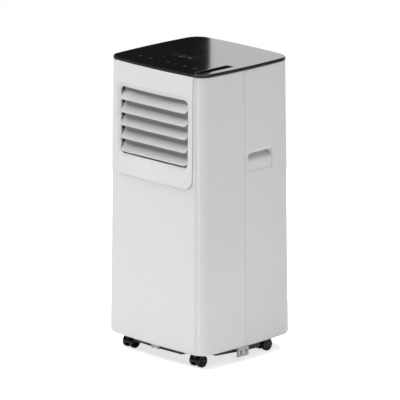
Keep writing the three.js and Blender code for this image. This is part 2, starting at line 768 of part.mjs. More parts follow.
function buildCasters() {
  const hood = hoodSolid();
  const wheel = wheelSolid();
  const axle = rod([-axleHalf, 0, 0], [axleHalf, 0, 0], axleRadius, 10);
  for (const { name, x, y } of casters) {
    const caster = new THREE.Group();
    caster.position.set(x, y, 0);
    body.add(caster);
    place(`caster_hood_${name}`, hood, blackPlastic(), caster);
    place(`caster_axle_${name}`, axle, metal(0x8c8f92, 0.3), caster).position
      .set(0, casterTrail, wheelRadius);
    for (const [label, side] of [['left', -1], ['right', 1]]) {
      const mesh = place(`wheel_${label}_${name}`, wheel, plastic(0x0f0f10, 0.55), caster);
      mesh.position.set(side * wheelGapHalf, casterTrail, wheelRadius);
      if (side < 0) mesh.rotation.z = Math.PI;
    }
  }
}

// ---------------------------------------------------------------- tabs under the casing
function buildTabs() {
  const topZ = casingFoot - fitGap;
  const half = planHalves(casingFoot);
  const panSide = half.x + sideBow - footRadius - wall - panInset + fitGap;
  const panFront = half.y + endBow - footRadius - wall - panInset + fitGap;
  const length = 32;
  const plate = 6;
  const reach = 10.5;
  const drop = 21;
  const ledge = 4.5;
  const middleY = seamY - 1;
  for (const [name, side] of [['seam_tab_left', -1], ['seam_tab_right', 1]]) {
    const outline = polygon([
      [side * panSide, topZ - ledge], [side * (panSide + reach - plate), topZ - ledge],
      [side * (panSide + reach - plate), topZ - drop], [side * (panSide + reach), topZ - drop],
      [side * (panSide + reach), topZ], [side * panSide, topZ],
    ]);
    let tab = prism(outline, 'y', middleY - length / 2, middleY + length / 2);
    for (const y of [middleY - length / 4, middleY + length / 4]) {
      tab = tab.subtract(block([-farX, y - 3, topZ - drop + 5], [farX, y + 3, topZ - ledge - 2]));
    }
    place(name, tab, greyPlastic());
  }
  const frontTab = block([-11, -panFront - 6, casingFoot - 10], [11, -panFront, topZ])
    .subtract(block([-6, -panFront - 7, casingFoot - 11], [6, -panFront - 2.5, topZ - 4]));
  place('front_tab', frontTab, greyPlastic());
}

// ---------------------------------------------------------------- air movers
function spiralOutline(centreZ, top, mouthOuter, smallRadius, inset) {
  const steps = 12;
  const sweep = 1.5 * Math.PI;
  const points = [[mouthOuter - inset, top], [mouthOuter - inset, centreZ]];
  for (let i = 1; i <= steps; i += 1) {
    const radius = mouthOuter + (smallRadius - mouthOuter) * (i / steps) - inset;
    const angle = -sweep * (i / steps);
    points.push([radius * Math.cos(angle), centreZ + radius * Math.sin(angle)]);
  }
  points.push([scrollMouthInner + inset - scrollWall, top]);
  return polygon(points);
}

function buildAirMover(label, centreZ, y0, top, wheelRadiusOut, motor) {
  const y1 = y0 + scrollDepth;
  const mouthOuter = scrollMouthInner + scrollMouthWidth + scrollWall;
  const small = wheelRadiusOut + 5;
  const inletRadius = wheelRadiusOut - 12;
  const shaftRadius = 4;
  const scroll = prism(spiralOutline(centreZ, top, mouthOuter, small, 0), 'y', y0, y1)
    .subtract(prism(spiralOutline(centreZ, top + 1, mouthOuter, small, scrollWall), 'y',
      y0 + scrollWall, y1 - scrollWall))
    .subtract(rod([0, y1 - 5, centreZ], [0, y1 + 1, centreZ], inletRadius, 28))
    .subtract(rod([0, y0 - 1, centreZ], [0, y0 + 5, centreZ], shaftRadius + 1, 12));
  place(`${label}_scroll`, scroll, foam());

  const plateY = 4;
  const endY2 = scrollDepth - 6;
  let wheel = rod([0, plateY, 0], [0, plateY + 2, 0], wheelRadiusOut, 28)
    .add(rod([0, endY2 - 3, 0], [0, endY2, 0], wheelRadiusOut, 28)
      .subtract(rod([0, 0, 0], [0, scrollDepth, 0], wheelRadiusOut - 14, 28)))
    .add(rod([0, plateY, 0], [0, plateY + 22, 0], 11, 12));
  const bladeWidth = 12;
  for (let i = 0; i < bladeCount; i += 1) {
    const blade = new THREE.BoxGeometry(bladeWidth, endY2 - plateY - 2, 1.6);
    blade.translate(0, (endY2 + plateY) / 2 - 0.5, 0);
    blade.rotateY(THREE.MathUtils.degToRad(35));
    blade.translate(wheelRadiusOut - 7, 0, 0);
    blade.rotateY((i / bladeCount) * Math.PI * 2);
    wheel = wheel.add(toSolid(blade));
  }
  wheel = wheel.add(rod([0, -motor.length / 2, 0], [0, plateY + 10, 0], shaftRadius, 12));
  place(`${label}_blower`, wheel, plastic(0x2b2c2e, 0.5)).position.set(0, y0, centreZ);

  const back = y0 - 1;
  const can = rod([0, back - motor.length, centreZ], [0, back, centreZ], motor.radius, 24)
    .add(rod([0, back - 3, centreZ], [0, back, centreZ], motor.radius + 5, 24))
    .subtract(rod([0, back - motor.length + 3, centreZ], [0, back + 1, centreZ], shaftRadius + fitGap, 12));
  place(`${label}_fan_motor`, can, metal(0x9a9da0, 0.45));
}

const lowerScrollTop = casingFoot + 197;
const lowerFanY = 12;

function buildExhaustDuct() {
  const low = [-72, lowerFanY, lowerScrollTop + fitGap];
  const faceY = endY(0, collarZ, 1);
  const high = [scrollMouthInner + scrollMouthWidth + 4, faceY - collarDepth - fitGap,
    collarZ + collarBore / 2 + 5];
  const t = scrollWall;
  const duct = block(low, high)
    .subtract(block(low.map((value) => value + t), high.map((value) => value - t)))
    .subtract(block([scrollMouthInner, lowerFanY + t, low[2] - 1],
      [scrollMouthInner + scrollMouthWidth, lowerFanY + scrollDepth - t, low[2] + t + 1]))
    .subtract(rod([0, high[1] - 5, collarZ], [0, high[1] + 1, collarZ], collarBore / 2, 32));
  place('exhaust_duct', duct, foam());
}

// ---------------------------------------------------------------- cooling circuit
function tube(points, radius, steps, sides = 8) {
  const ring = new THREE.Shape();
  ring.absarc(0, 0, radius, 0, Math.PI * 2, false);
  const path = new THREE.CatmullRomCurve3(points.map((point) => new THREE.Vector3(...point)));
  const options = { extrudePath: path, steps, curveSegments: sides / 2, bevelEnabled: false };
  return toSolid(new THREE.ExtrudeGeometry(ring, options));
}

function buildCoil(name, bottom, top) {
  const backY = endY(coilHalfWidth, top, 1) - coilBehind;
  const frontY = backY - coilThickness;
  const grooveDepth = 22;
  const finCount = 12;
  const pitch = (coilHalfWidth * 2) / finCount;
  let coil = block([-coilHalfWidth, frontY, bottom], [coilHalfWidth, backY, top]);
  for (let i = 0; i < finCount; i += 1) {
    const x = (i + 0.5) * pitch - coilHalfWidth;
    const half = pitch / 2 - 1.2;
    coil = coil.subtract(block([x - half, backY - grooveDepth, bottom - 1], [x + half, farY, top + 1]));
  }
  const bendCount = 3;
  const rise = (top - bottom) / bendCount;
  const middleY = (frontY + backY) / 2;
  for (const side of [-1, 1]) {
    for (let i = 0; i < bendCount; i += 1) {
      const z = bottom + rise * (i + 0.3);
      const root = side * (coilHalfWidth - 2);
      coil = coil.add(tube([[root, middleY, z], [root + side * 8, middleY, z + 2],
        [root + side * 10, middleY, z + rise * 0.2], [root + side * 8, middleY, z + rise * 0.4 - 2],
        [root, middleY, z + rise * 0.4]], 3.5, 4, 6));
    }
  }
  place(name, coil, aluminium());
  return { x: 16 - coilHalfWidth, y: frontY - fitGap };
}

function buildCircuit() {
  const condenser = buildCoil('condenser', floorZ + 22, lowerGrilleTop - 4);
  const evaporator = buildCoil('evaporator', deckZ + 20, upperGrilleTop - 6);
  const padHeight = 10;
  const compressorX = -78;
  const compressorY = -62;
  const bottom = floorZ + fitGap;
  const top = bottom + padHeight + compressorHeight;
  const can = lathe([
    [0, bottom + padHeight], [compressorRadius - 8, bottom + padHeight],
    [compressorRadius, bottom + padHeight + 9], [compressorRadius, top - 12],
    [compressorRadius - 12, top - 2], [0, top],
  ], 28);
  can.rotateX(Math.PI / 2);
  can.translate(compressorX, compressorY, 0);
  let compressor = toSolid(can);
  const footReach = compressorRadius + 4;
  for (let i = 0; i < 3; i += 1) {
    const angle = Math.PI / 6 + (i * Math.PI * 2) / 3;
    const x = compressorX + footReach * Math.cos(angle) * 0.8;
    const y = compressorY + footReach * Math.sin(angle) * 0.8;
    compressor = compressor.add(rod([x, y, bottom], [x, y, bottom + padHeight + 4], 9, 12));
  }
  place('compressor', compressor, blackSteel());

  const tankRadius = 19;
  const tankX = compressorX + 68;
  const tankY = compressorY - 34;
  const tankTop = top - 22;
  const tank = lathe([[0, bottom + 26], [tankRadius - 7, bottom + 26], [tankRadius, bottom + 36],
    [tankRadius, tankTop - 10], [tankRadius - 8, tankTop], [0, tankTop]], 20);
  tank.rotateX(Math.PI / 2);
  tank.translate(tankX, tankY, 0);
  const tankFoot = block([tankX - 7, tankY - 7, bottom], [tankX + 7, tankY + 7, bottom + 28]);
  place('accumulator', toSolid(tank).add(tankFoot), blackSteel());

  const pipeRadius = 4.5;
  place('discharge_pipe', tube([
    [compressorX, compressorY, top + fitGap], [compressorX, compressorY, top + 12],
    [compressorX - 26, compressorY + 38, top + 24], [compressorX - 34, condenser.y - 50, top - 4],
    [condenser.x, condenser.y - 12, top - 16], [condenser.x, condenser.y, top - 16],
  ], pipeRadius, 14), copper());
  place('suction_pipe', tube([
    [tankX, tankY, tankTop + fitGap], [tankX, tankY, tankTop + 50],
    [compressorX - 10, compressorY, deckZ - 60], [pipeHole.x, pipeHole.y, deckZ - 26],
    [pipeHole.x, pipeHole.y, deckZ], [pipeHole.x, pipeHole.y, deckZ + 22],
    [pipeHole.x + 12, pipeHole.y + 30, deckZ + 42], [evaporator.x, evaporator.y - 12, deckZ + 50],
    [evaporator.x, evaporator.y, deckZ + 50],
  ], pipeRadius, 20), copper());
}

const pipeHole = { x: -130, y: 20, radius: 8 };

function buildDeck() {
  const inset = wall + 1.5;
  const rimHeightAbove = 16;
  const plan = (extra, low, high) => loft(
    [planRing(deckZ, inset + extra, low), planRing(deckZ + rimHeightAbove, inset + extra, high)],
    seenFromAbove);
  const { x, z, radius } = drains[1];
  const deck = plan(0, deckZ, deckZ + rimHeightAbove)
    .subtract(plan(2.5, deckZ + 3, deckZ + rimHeightAbove + 1))
    .subtract(rod([pipeHole.x, pipeHole.y, 0], [pipeHole.x, pipeHole.y, casingTop], pipeHole.radius, 12))
    .subtract(rod([x, 0, z], [x, farY, z], radius, 12));
  place('partition_deck', deck, blackPlastic());
}

function buildElectrics() {
  const frontY = endY(125, casingFoot, -1) + 24;
  const box = block([32, frontY, floorZ + 30], [124, frontY + 70, floorZ + 165])
    .subtract(block([34, frontY - 1, floorZ + 32], [122, frontY + 66, floorZ + 163]));
  place('electrics_box', box, greyPlastic());
}

buildShells();
buildBasePan();
buildTabs();
buildOutletPanel();
buildSlats();
buildOutletDuct();
buildTop();
buildHandle('handle_cup_left', -1);
buildHandle('handle_cup_right', 1);
buildGrille('upper', upperGrilleBottom, upperGrilleTop);
buildGrille('lower', lowerGrilleBottom, lowerGrilleTop);
buildCollar();
buildCaps();
buildCasters();
buildDeck();
buildAirMover('upper', branchBottom - 76, upperFanY[0], branchBottom - fitGap, upperBlowerRadius,
  { radius: 32, length: 44 });
buildAirMover('lower', lowerScrollTop - 92, lowerFanY, lowerScrollTop, lowerBlowerRadius,
  { radius: 32, length: 32 });
buildExhaustDuct();
buildCircuit();
buildElectrics();

export default part;
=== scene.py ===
import math

import bmesh
import bpy
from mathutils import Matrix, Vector


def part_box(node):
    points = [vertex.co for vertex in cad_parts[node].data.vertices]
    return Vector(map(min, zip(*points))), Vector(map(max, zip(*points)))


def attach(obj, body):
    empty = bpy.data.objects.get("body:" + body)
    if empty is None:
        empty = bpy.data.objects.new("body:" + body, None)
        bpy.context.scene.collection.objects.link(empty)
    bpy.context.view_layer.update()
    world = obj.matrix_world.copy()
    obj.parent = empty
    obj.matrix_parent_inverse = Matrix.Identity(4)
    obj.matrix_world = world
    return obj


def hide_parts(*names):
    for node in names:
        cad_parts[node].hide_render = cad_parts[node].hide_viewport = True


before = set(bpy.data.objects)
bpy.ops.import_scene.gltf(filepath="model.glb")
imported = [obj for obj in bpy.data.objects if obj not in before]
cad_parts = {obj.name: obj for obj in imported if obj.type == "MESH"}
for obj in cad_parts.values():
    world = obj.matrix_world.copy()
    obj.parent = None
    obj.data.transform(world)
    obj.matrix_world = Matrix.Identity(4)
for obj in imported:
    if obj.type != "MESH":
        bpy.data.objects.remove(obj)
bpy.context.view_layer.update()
mm = 0.001

# camera
camera = {"azimuth": 45.24, "elevation": 14.8, "distance": 10.516, "lens": 426.7,
          "target": (0.0002, -0.0128, 0.3388)}
azimuth = math.radians(camera["azimuth"])
elevation = math.radians(camera["elevation"])
backwards = Vector((math.sin(azimuth) * math.cos(elevation),
                    -math.cos(azimuth) * math.cos(elevation), math.sin(elevation)))
cameraData = bpy.data.cameras.new("camera")
cameraData.lens = camera["lens"]
cameraData.sensor_width = 36
cameraData.clip_end = 60
cameraObject = bpy.data.objects.new("camera", cameraData)
bpy.context.scene.collection.objects.link(cameraObject)
cameraObject.location = Vector(camera["target"]) + backwards * camera["distance"]
cameraObject.rotation_mode = "QUATERNION"
cameraObject.rotation_quaternion = (-backwards).to_track_quat("-Z", "Y")
bpy.context.scene.camera = cameraObject
bpy.context.scene.view_settings.view_transform = "Standard"
print("camera placed")


# modelling helpers, sizes in millimetres
def leaveEdit():
    if bpy.context.object and bpy.context.object.mode != "OBJECT":
        bpy.ops.object.mode_set(mode="OBJECT")


def onlyThis(piece):
    leaveEdit()
    bpy.ops.object.select_all(action="DESELECT")
    if piece:
        piece.select_set(True)
        bpy.context.view_layer.objects.active = piece


def namePiece(name):
    piece = bpy.context.object
    piece.name = name
    piece.data.name = name
    return piece


def addBlock(name, low, high):
    onlyThis(None)
    centre = [(a + b) / 2 * mm for a, b in zip(low, high)]
    bpy.ops.mesh.primitive_cube_add(size=1, location=centre)
    bpy.context.object.scale = [(b - a) * mm for a, b in zip(low, high)]
    bpy.ops.object.transform_apply(location=True, rotation=True, scale=True)
    return namePiece(name)


def addRod(name, start, end, radius, sides=32):
    onlyThis(None)
    start, end = Vector(start) * mm, Vector(end) * mm
    turn = (end - start).to_track_quat("Z", "Y").to_euler()
    bpy.ops.mesh.primitive_cylinder_add(vertices=sides, radius=radius * mm, depth=(end - start).length,
                                        location=(start + end) / 2, rotation=turn)
    bpy.ops.object.transform_apply(location=True, rotation=True, scale=True)
    return namePiece(name)


def openMesh(piece, kind="FACE"):
    onlyThis(piece)
    bpy.ops.object.mode_set(mode="EDIT")
    bpy.ops.mesh.select_all(action="DESELECT")
    bpy.ops.mesh.select_mode(type=kind)
    return bmesh.from_edit_mesh(piece.data)


def pickFaces(piece, test):
    mesh = openMesh(piece, "FACE")
    for face in mesh.faces:
        face.select_set(test(face.calc_center_median() / mm, face.normal))
    bmesh.update_edit_mesh(piece.data)


def pickEdges(piece, test):
    mesh = openMesh(piece, "EDGE")
    for edge in mesh.edges:
        edge.select_set(test(edge.verts[0].co / mm, edge.verts[1].co / mm))
    bmesh.update_edit_mesh(piece.data)


def pickVerts(piece, test):
    mesh = openMesh(piece, "VERT")
    for vert in mesh.verts:
        vert.select_set(test(vert.co / mm))
    mesh.select_flush(True)
    bmesh.update_edit_mesh(piece.data)


def roundEdges(piece, radius, steps, test):
    pickEdges(piece, test)
    bpy.ops.mesh.bevel(offset=radius * mm, segments=steps, affect="EDGES")
    leaveEdit()


def moveVerts(piece, step, test):
    pickVerts(piece, test)
    bpy.ops.transform.translate(value=[v * mm for v in step])
    leaveEdit()


def removeFaces(piece, test):
    pickFaces(piece, test)
    bpy.ops.mesh.delete(type="FACE")
    leaveEdit()


def sink(piece, inset, depth, test):        # frame a face and push its middle in or out
    pickFaces(piece, test)
    bpy.ops.mesh.inset(thickness=inset * mm, depth=0)
    bpy.ops.mesh.extrude_region_move(TRANSFORM_OT_translate={"value": [v * mm for v in depth]})
    leaveEdit()


def cutAcross(piece, axis, places, keep=None):
    openMesh(piece)
    for place in places:
        bpy.ops.mesh.select_all(action="SELECT")
        point = Vector((0, 0, 0))
        normal = Vector((0, 0, 0))
        point["XYZ".index(axis)] = place * mm
        normal["XYZ".index(axis)] = 1
        bpy.ops.mesh.bisect(plane_co=point, plane_no=normal, clear_inner=keep == "above",
                            clear_outer=keep == "below")
    leaveEdit()


def cutAway(piece, tool):
    modifier = piece.modifiers.new("cut", "BOOLEAN")
    modifier.operation = "DIFFERENCE"
    modifier.solver = "EXACT"
    modifier.object = tool
    applyModifier(piece, modifier)
    bpy.data.objects.remove(tool, do_unlink=True)


def applyModifier(piece, modifier):
    onlyThis(piece)
    bpy.ops.object.modifier_apply(modifier=modifier.name)


def thicken(piece, thickness, offset=-1):
    modifier = piece.modifiers.new("wall", "SOLIDIFY")
    modifier.thickness = thickness * mm
    modifier.offset = offset
    modifier.use_even_offset = True
    applyModifier(piece, modifier)


def softenEdges(piece, width, steps=2, degrees=30):
    modifier = piece.modifiers.new("soft", "BEVEL")
    modifier.width = width * mm
    modifier.segments = steps
    modifier.limit_method = "ANGLE"
    modifier.angle_limit = math.radians(degrees)
    modifier.use_clamp_overlap = True
    applyModifier(piece, modifier)


def evenNormals(piece):
    modifier = piece.modifiers.new("even", "WEIGHTED_NORMAL")
    modifier.keep_sharp = True
    applyModifier(piece, modifier)


def cleanMesh(piece, recalc=False, flatten=False):
    openMesh(piece)
    bpy.ops.mesh.select_all(action="SELECT")
    bpy.ops.mesh.remove_doubles(threshold=0.01 * mm)
    if flatten:
        bpy.ops.mesh.dissolve_limited(angle_limit=math.radians(1.0))
    if recalc:
        bpy.ops.mesh.select_all(action="SELECT")
        bpy.ops.mesh.normals_make_consistent(inside=False)
    leaveEdit()


def joinPieces(pieces, name):
    onlyThis(pieces[0])
    for other in pieces[1:]:
        other.select_set(True)
    bpy.ops.object.join()
    return namePiece(name)


def copyPiece(piece, name):
    double = piece.copy()
    double.data = piece.data.copy()
    double.name = name
    double.data.name = name
    bpy.context.scene.collection.objects.link(double)
    return double


def softCopy(node, name, width, degrees=35):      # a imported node's own shape with eased edges
    source = bpy.data.objects[node]
    mesh = source.data.copy()
    mesh.materials.clear()
    piece = bpy.data.objects.new(name, mesh)
    mesh.name = name
    bpy.context.scene.collection.objects.link(piece)
    cleanMesh(piece, flatten=True)
    softenEdges(piece, width, 2, degrees)
    return piece


def spinShape(name, profile, axis, centre, steps=48):       # profile points are (radius, along)
    along = {"X": Vector((1, 0, 0)), "Y": Vector((0, 1, 0)), "Z": Vector((0, 0, 1))}[axis]
    out = Vector((1, 0, 0)) if axis == "Z" else Vector((0, 0, 1))
    middle = Vector(centre) * mm
    points = [middle + (out * r + along * a) * mm for r, a in profile]
    mesh = bpy.data.meshes.new(name)
    mesh.from_pydata(points, [(i, i + 1) for i in range(len(points) - 1)], [])
    piece = bpy.data.objects.new(name, mesh)
    bpy.context.scene.collection.objects.link(piece)
    openMesh(piece)
    bpy.ops.mesh.select_all(action="SELECT")
    bpy.ops.mesh.spin(steps=steps, angle=2 * math.pi, center=middle, axis=along)
    leaveEdit()
    cleanMesh(piece, recalc=True)
    return piece


def finishPiece(piece, body, material, replaces=(), degrees=32, even=True):
    onlyThis(piece)
    piece.data.materials.clear()
    piece.data.materials.append(material)
    bpy.ops.object.shade_smooth_by_angle(angle=math.radians(degrees))
    if even:
        evenNormals(piece)
    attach(piece, body)
    if replaces:
        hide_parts(*replaces)


# the casing's bowed, drafted surface
casing = {"halfX": 152.35, "halfY": 143.6, "draftX": 7.6, "draftY": 7.0, "sideBow": 7, "endBow": 7.5,
          "foot": 35, "top": 659, "behind": 13}


def halvesAt(z):
    rise = (z - casing["foot"]) / (casing["top"] - casing["foot"])
    return casing["halfX"] - casing["draftX"] * rise, casing["halfY"] - casing["draftY"] * rise


def endY(x, z, side):
    halfX, halfY = halvesAt(z)
    return side * (halfY + casing["endBow"] * (1 - (x / halfX) ** 2)) - casing["behind"]


def sideX(y, z):
    halfX, halfY = halvesAt(z)
    return halfX + casing["sideBow"] * (1 - ((y + casing["behind"]) / halfY) ** 2)


def bowOut(piece, level=None):          # from the straight box to the bowed, drafted one
    for vert in piece.data.vertices:
        x, y, z = vert.co / mm
        halfX, halfY = halvesAt(z if level is None else level)
        across = x / casing["halfX"]
        along = y / casing["halfY"]
        newX = halfX * across + across * casing["sideBow"] * (1 - along ** 2)
        newY = halfY * along + along * casing["endBow"] * (1 - across ** 2) - casing["behind"]
        vert.co = Vector((newX, newY, z)) * mm
    piece.data.update()


def hugEnd(piece, side):            # y counts from the front or back surface, inwards
    for vert in piece.data.vertices:
        x, y, z = vert.co / mm
        vert.co.y = (endY(x, z, side) - side * y) * mm
    piece.data.update()


def hugSide(piece):                 # x counts from the right side's surface
    for vert in piece.data.vertices:
        x, y, z = vert.co / mm
        vert.co.x = (sideX(y, z) + x) * mm
    piece.data.update()


def near(a, b, slack=0.05):
    return abs(a - b) < slack


def spread(low, high, step):
    count = max(1, round((high - low) / step))
    return [low + (high - low) * i / count for i in range(1, count)]


# materials
def startMaterial(name):
    material = bpy.data.materials.new(name)
    material.use_nodes = True
    tree = material.node_tree
    tree.nodes.clear()
    output = tree.nodes.new("ShaderNodeOutputMaterial")
    shader = tree.nodes.new("ShaderNodeBsdfPrincipled")
    tree.links.new(shader.outputs["BSDF"], output.inputs["Surface"])
    place = tree.nodes.new("ShaderNodeTexCoord")
    return material, tree, shader, place


def addNoise(tree, place, scale, detail=2.0, stretch=None):
    noise = tree.nodes.new("ShaderNodeTexNoise")
    noise.inputs["Scale"].default_value = scale
    noise.inputs["Detail"].default_value = detail
    source = place.outputs["Object"]
    if stretch:
        mapping = tree.nodes.new("ShaderNodeMapping")
        mapping.inputs["Scale"].default_value = stretch
        tree.links.new(source, mapping.inputs["Vector"])
        source = mapping.outputs["Vector"]
    tree.links.new(source, noise.inputs["Vector"])
    return noise


def addRamp(tree, source, low, high, colours):
    ramp = tree.nodes.new("ShaderNodeValToRGB")
    ramp.color_ramp.elements[0].position = low
    ramp.color_ramp.elements[1].position = high
    for element, colour in zip(ramp.color_ramp.elements, colours):
        element.color = (*colour, 1)
    tree.links.new(source, ramp.inputs["Fac"])
    return ramp


def addRange(tree, source, low, high):
    spreadOut = tree.nodes.new("ShaderNodeMapRange")
    spreadOut.inputs["From Min"].default_value = 0.3
    spreadOut.inputs["From Max"].default_value = 0.7
    spreadOut.inputs["To Min"].default_value = low
    spreadOut.inputs["To Max"].default_value = high
    tree.links.new(source, spreadOut.inputs["Value"])
    return spreadOut.outputs["Result"]


def addBump(tree, shader, source, strength, distance):
    bump = tree.nodes.new("ShaderNodeBump")
    bump.inputs["Strength"].default_value = strength
    bump.inputs["Distance"].default_value = distance
    tree.links.new(source, bump.inputs["Height"])
    tree.links.new(bump.outputs["Normal"], shader.inputs["Normal"])


def mottled(name, dark, light, rough, tone=6.0, grain=700.0, bump=0.15, metallic=0.0, stretch=None,
            depth=0.0002):
    material, tree, shader, place = startMaterial(name)
    cloud = addNoise(tree, place, tone, 3.0)
    ramp = addRamp(tree, cloud.outputs["Fac"], 0.3, 0.7, (dark, light))
    tree.links.new(ramp.outputs["Color"], shader.inputs["Base Color"])
    fine = addNoise(tree, place, grain, 2.0, stretch)
    tree.links.new(addRange(tree, fine.outputs["Fac"], *rough), shader.inputs["Roughness"])
    addBump(tree, shader, fine.outputs["Fac"], bump, depth)
    shader.inputs["Metallic"].default_value = metallic
    return material


def grey(value):
    return (value, value, value)


whiteCasing = mottled("white_casing", (0.70, 0.70, 0.705), (0.72, 0.72, 0.72), (0.36, 0.44), 5, 900, 0.12)
# the slats get a darker copy of the casing's white: painted shade for the recess of the louver opening
shadedSlatWhite = mottled("white_slat", (0.50, 0.50, 0.505), (0.52, 0.52, 0.52), (0.34, 0.42), 9, 900, 0.1)
greyPlastic = mottled("grey_plastic", grey(0.46), grey(0.5), (0.42, 0.52), 12, 800, 0.2)
blackPlastic = mottled("black_plastic", grey(0.007), grey(0.012), (0.42, 0.56), 10, 600, 0.3)
rimBlack = mottled("rim_black", grey(0.006), grey(0.010), (0.22, 0.30), 8, 900, 0.08)
slotBlack = mottled("slot_black", grey(0.012), grey(0.020), (0.25, 0.35), 10, 800, 0.15)
casterBlack = mottled("caster_black", grey(0.006), grey(0.010), (0.14, 0.24), 18, 900, 0.2)
wheelBlack = mottled("wheel_black", grey(0.004), grey(0.007), (0.14, 0.24), 30, 1100, 0.35)
motorSteel = mottled("motor_steel", grey(0.38), grey(0.52), (0.30, 0.46), 40, 400, 0.2, 1.0)
blackSteel = mottled("black_steel", grey(0.012), grey(0.022), (0.30, 0.42), 20, 300, 0.25)
copper = mottled("copper", (0.72, 0.34, 0.20), (0.83, 0.44, 0.28), (0.22, 0.42), 35, 300, 0.2, 1.0)
# the duct lining is made near black: painted shade for the dark gaps between and behind the slats
ductFoamShaded = mottled("duct_foam", grey(0.06), grey(0.09), (0.80, 0.95), 20, 420, 0.6, 0.0, None, 0.0006)
fanPlastic = mottled("fan_plastic", grey(0.10), grey(0.13), (0.40, 0.50), 14, 700, 0.2)
capRubber = mottled("cap_rubber", grey(0.045), grey(0.06), (0.62, 0.78), 25, 900, 0.35)
meshThread = mottled("filter_mesh", grey(0.16), grey(0.22), (0.50, 0.62), 40, 1500, 0.3)
touchInk = mottled("touch_symbols", grey(0.022), grey(0.032), (0.30, 0.40), 60, 900, 0.05)
screwSteel = mottled("screw_steel", grey(0.42), grey(0.55), (0.25, 0.40), 150, 900, 0.2, 1.0)
clipGrey = mottled("clip_grey", grey(0.50), grey(0.56), (0.36, 0.46), 12, 800, 0.15)
deckPlastic = mottled("deck_plastic", grey(0.30), grey(0.36), (0.45, 0.58), 14, 500, 0.3)
galvanised = mottled("galvanised", grey(0.38), grey(0.60), (0.30, 0.50), 90, 300, 0.2, 0.9)
windowTint = mottled("window_tint", (0.006, 0.007, 0.008), (0.008, 0.010, 0.011), (0.06, 0.09), 20, 600,
                     0.02)


def makeGlass():            # black glass with the faintest wipe marks
    material, tree, shader, place = startMaterial("black_glass")
    cloud = addNoise(tree, place, 9.0, 4.0, (1, 0.35, 1))
    ramp = addRamp(tree, cloud.outputs["Fac"], 0.35, 0.7, (grey(0.003), grey(0.0045)))
    tree.links.new(ramp.outputs["Color"], shader.inputs["Base Color"])
    tree.links.new(addRange(tree, cloud.outputs["Fac"], 0.050, 0.075), shader.inputs["Roughness"])
    shader.inputs["IOR"].default_value = 1.5
    return material


def makeFins():             # thin upright aluminium fins, with painted shade in the gaps between them
    material, tree, shader, place = startMaterial("fin_aluminium")
    wave = tree.nodes.new("ShaderNodeTexWave")
    wave.bands_direction = "X"
    wave.inputs["Scale"].default_value = 140.0
    wave.inputs["Distortion"].default_value = 0.25
    wave.inputs["Detail"].default_value = 1.0
    tree.links.new(place.outputs["Object"], wave.inputs["Vector"])
    # the light bands are the fins, the dark bands painted shade in the gaps between them
    ramp = addRamp(tree, wave.outputs["Fac"], 0.15, 0.75, (grey(0.05), grey(0.62)))
    tree.links.new(ramp.outputs["Color"], shader.inputs["Base Color"])
    tree.links.new(addRange(tree, wave.outputs["Fac"], 0.55, 0.3), shader.inputs["Roughness"])
    addBump(tree, shader, wave.outputs["Fac"], 0.7, 0.0006)
    shader.inputs["Metallic"].default_value = 0.8
    return material


def makeBoard():            # solder mask with tracks under it
    material, tree, shader, place = startMaterial("circuit_board")
    tracks = tree.nodes.new("ShaderNodeTexBrick")
    tracks.inputs["Scale"].default_value = 160.0
    tracks.inputs["Color1"].default_value = (0.010, 0.075, 0.030, 1)
    tracks.inputs["Color2"].default_value = (0.014, 0.100, 0.040, 1)
    tracks.inputs["Mortar"].default_value = (0.030, 0.170, 0.070, 1)
    tracks.inputs["Mortar Size"].default_value = 0.03
    tree.links.new(place.outputs["Object"], tracks.inputs["Vector"])
    tree.links.new(tracks.outputs["Color"], shader.inputs["Base Color"])
    fine = addNoise(tree, place, 500)
    tree.links.new(addRange(tree, fine.outputs["Fac"], 0.3, 0.45), shader.inputs["Roughness"])
    addBump(tree, shader, tracks.outputs["Fac"], 0.4, 0.0002)
    return material


def makeDisplay():          # dim figures behind the glass
    material, tree, shader, place = startMaterial("display_figures")
    cloud = addNoise(tree, place, 300.0)
    ramp = addRamp(tree, cloud.outputs["Fac"], 0.3, 0.7, ((0.03, 0.07, 0.08), (0.04, 0.09, 0.10)))
    tree.links.new(ramp.outputs["Color"], shader.inputs["Base Color"])
    tree.links.new(ramp.outputs["Color"], shader.inputs["Emission Color"])
    shader.inputs["Emission Strength"].default_value = 0.2
    shader.inputs["Roughness"].default_value = 0.3
    return material


def makeFloor():
    material, tree, shader, place = startMaterial("studio_floor")
    cloud = addNoise(tree, place, 2.0)
    ramp = addRamp(tree, cloud.outputs["Fac"], 0.3, 0.7, (grey(0.90), grey(0.915)))
    tree.links.new(ramp.outputs["Color"], shader.inputs["Base Color"])
    shader.inputs["Roughness"].default_value = 0.9
    shader.inputs["Specular IOR Level"].default_value = 0.1
    shader.inputs["Emission Color"].default_value = (1, 1, 1, 1)        # keeps the floor's shadow pale
    seen = tree.nodes.new("ShaderNodeLightPath")                        # and lights nothing else
    glow = addRange(tree, seen.outputs["Is Camera Ray"], 0.0, 0.74)
    tree.links.new(glow, shader.inputs["Emission Strength"])
    return material


blackGlass = makeGlass()
finAluminiumGapShade = makeFins()
circuitBoard = makeBoard()
displayFigures = makeDisplay()
studioFloor = makeFloor()
print("materials ready")

# casing: one straight box, rounded, bowed, then parted at the seam
shell = {"frontRadius": 27, "rearRadius": 32, "footRadius": 8, "wall": 2.5, "seamY": -28, "seamGap": 0.35,
         "creaseAt": 25, "creaseHalf": 15, "creaseDepth": 2.4, "cornerEnd": 123.5, "edge": 1.1, "top": 661.2}
halfX, halfY = casing["halfX"], casing["halfY"]
foot, top = casing["foot"], casing["top"]
cornerX, cornerY = halfX - shell["frontRadius"], halfY - shell["frontRadius"]
cornerRise = halfY - shell["cornerEnd"]
cornerTurn = 2 * math.atan(cornerRise / shell["frontRadius"])      # the corner ends in a faint edge
cornerArc = cornerRise / (1 - math.cos(cornerTurn))


def upright(a, b, x, y):
    return near(a.x, b.x) and near(a.y, b.y) and near(abs(a.x), x) and near(a.y, y)


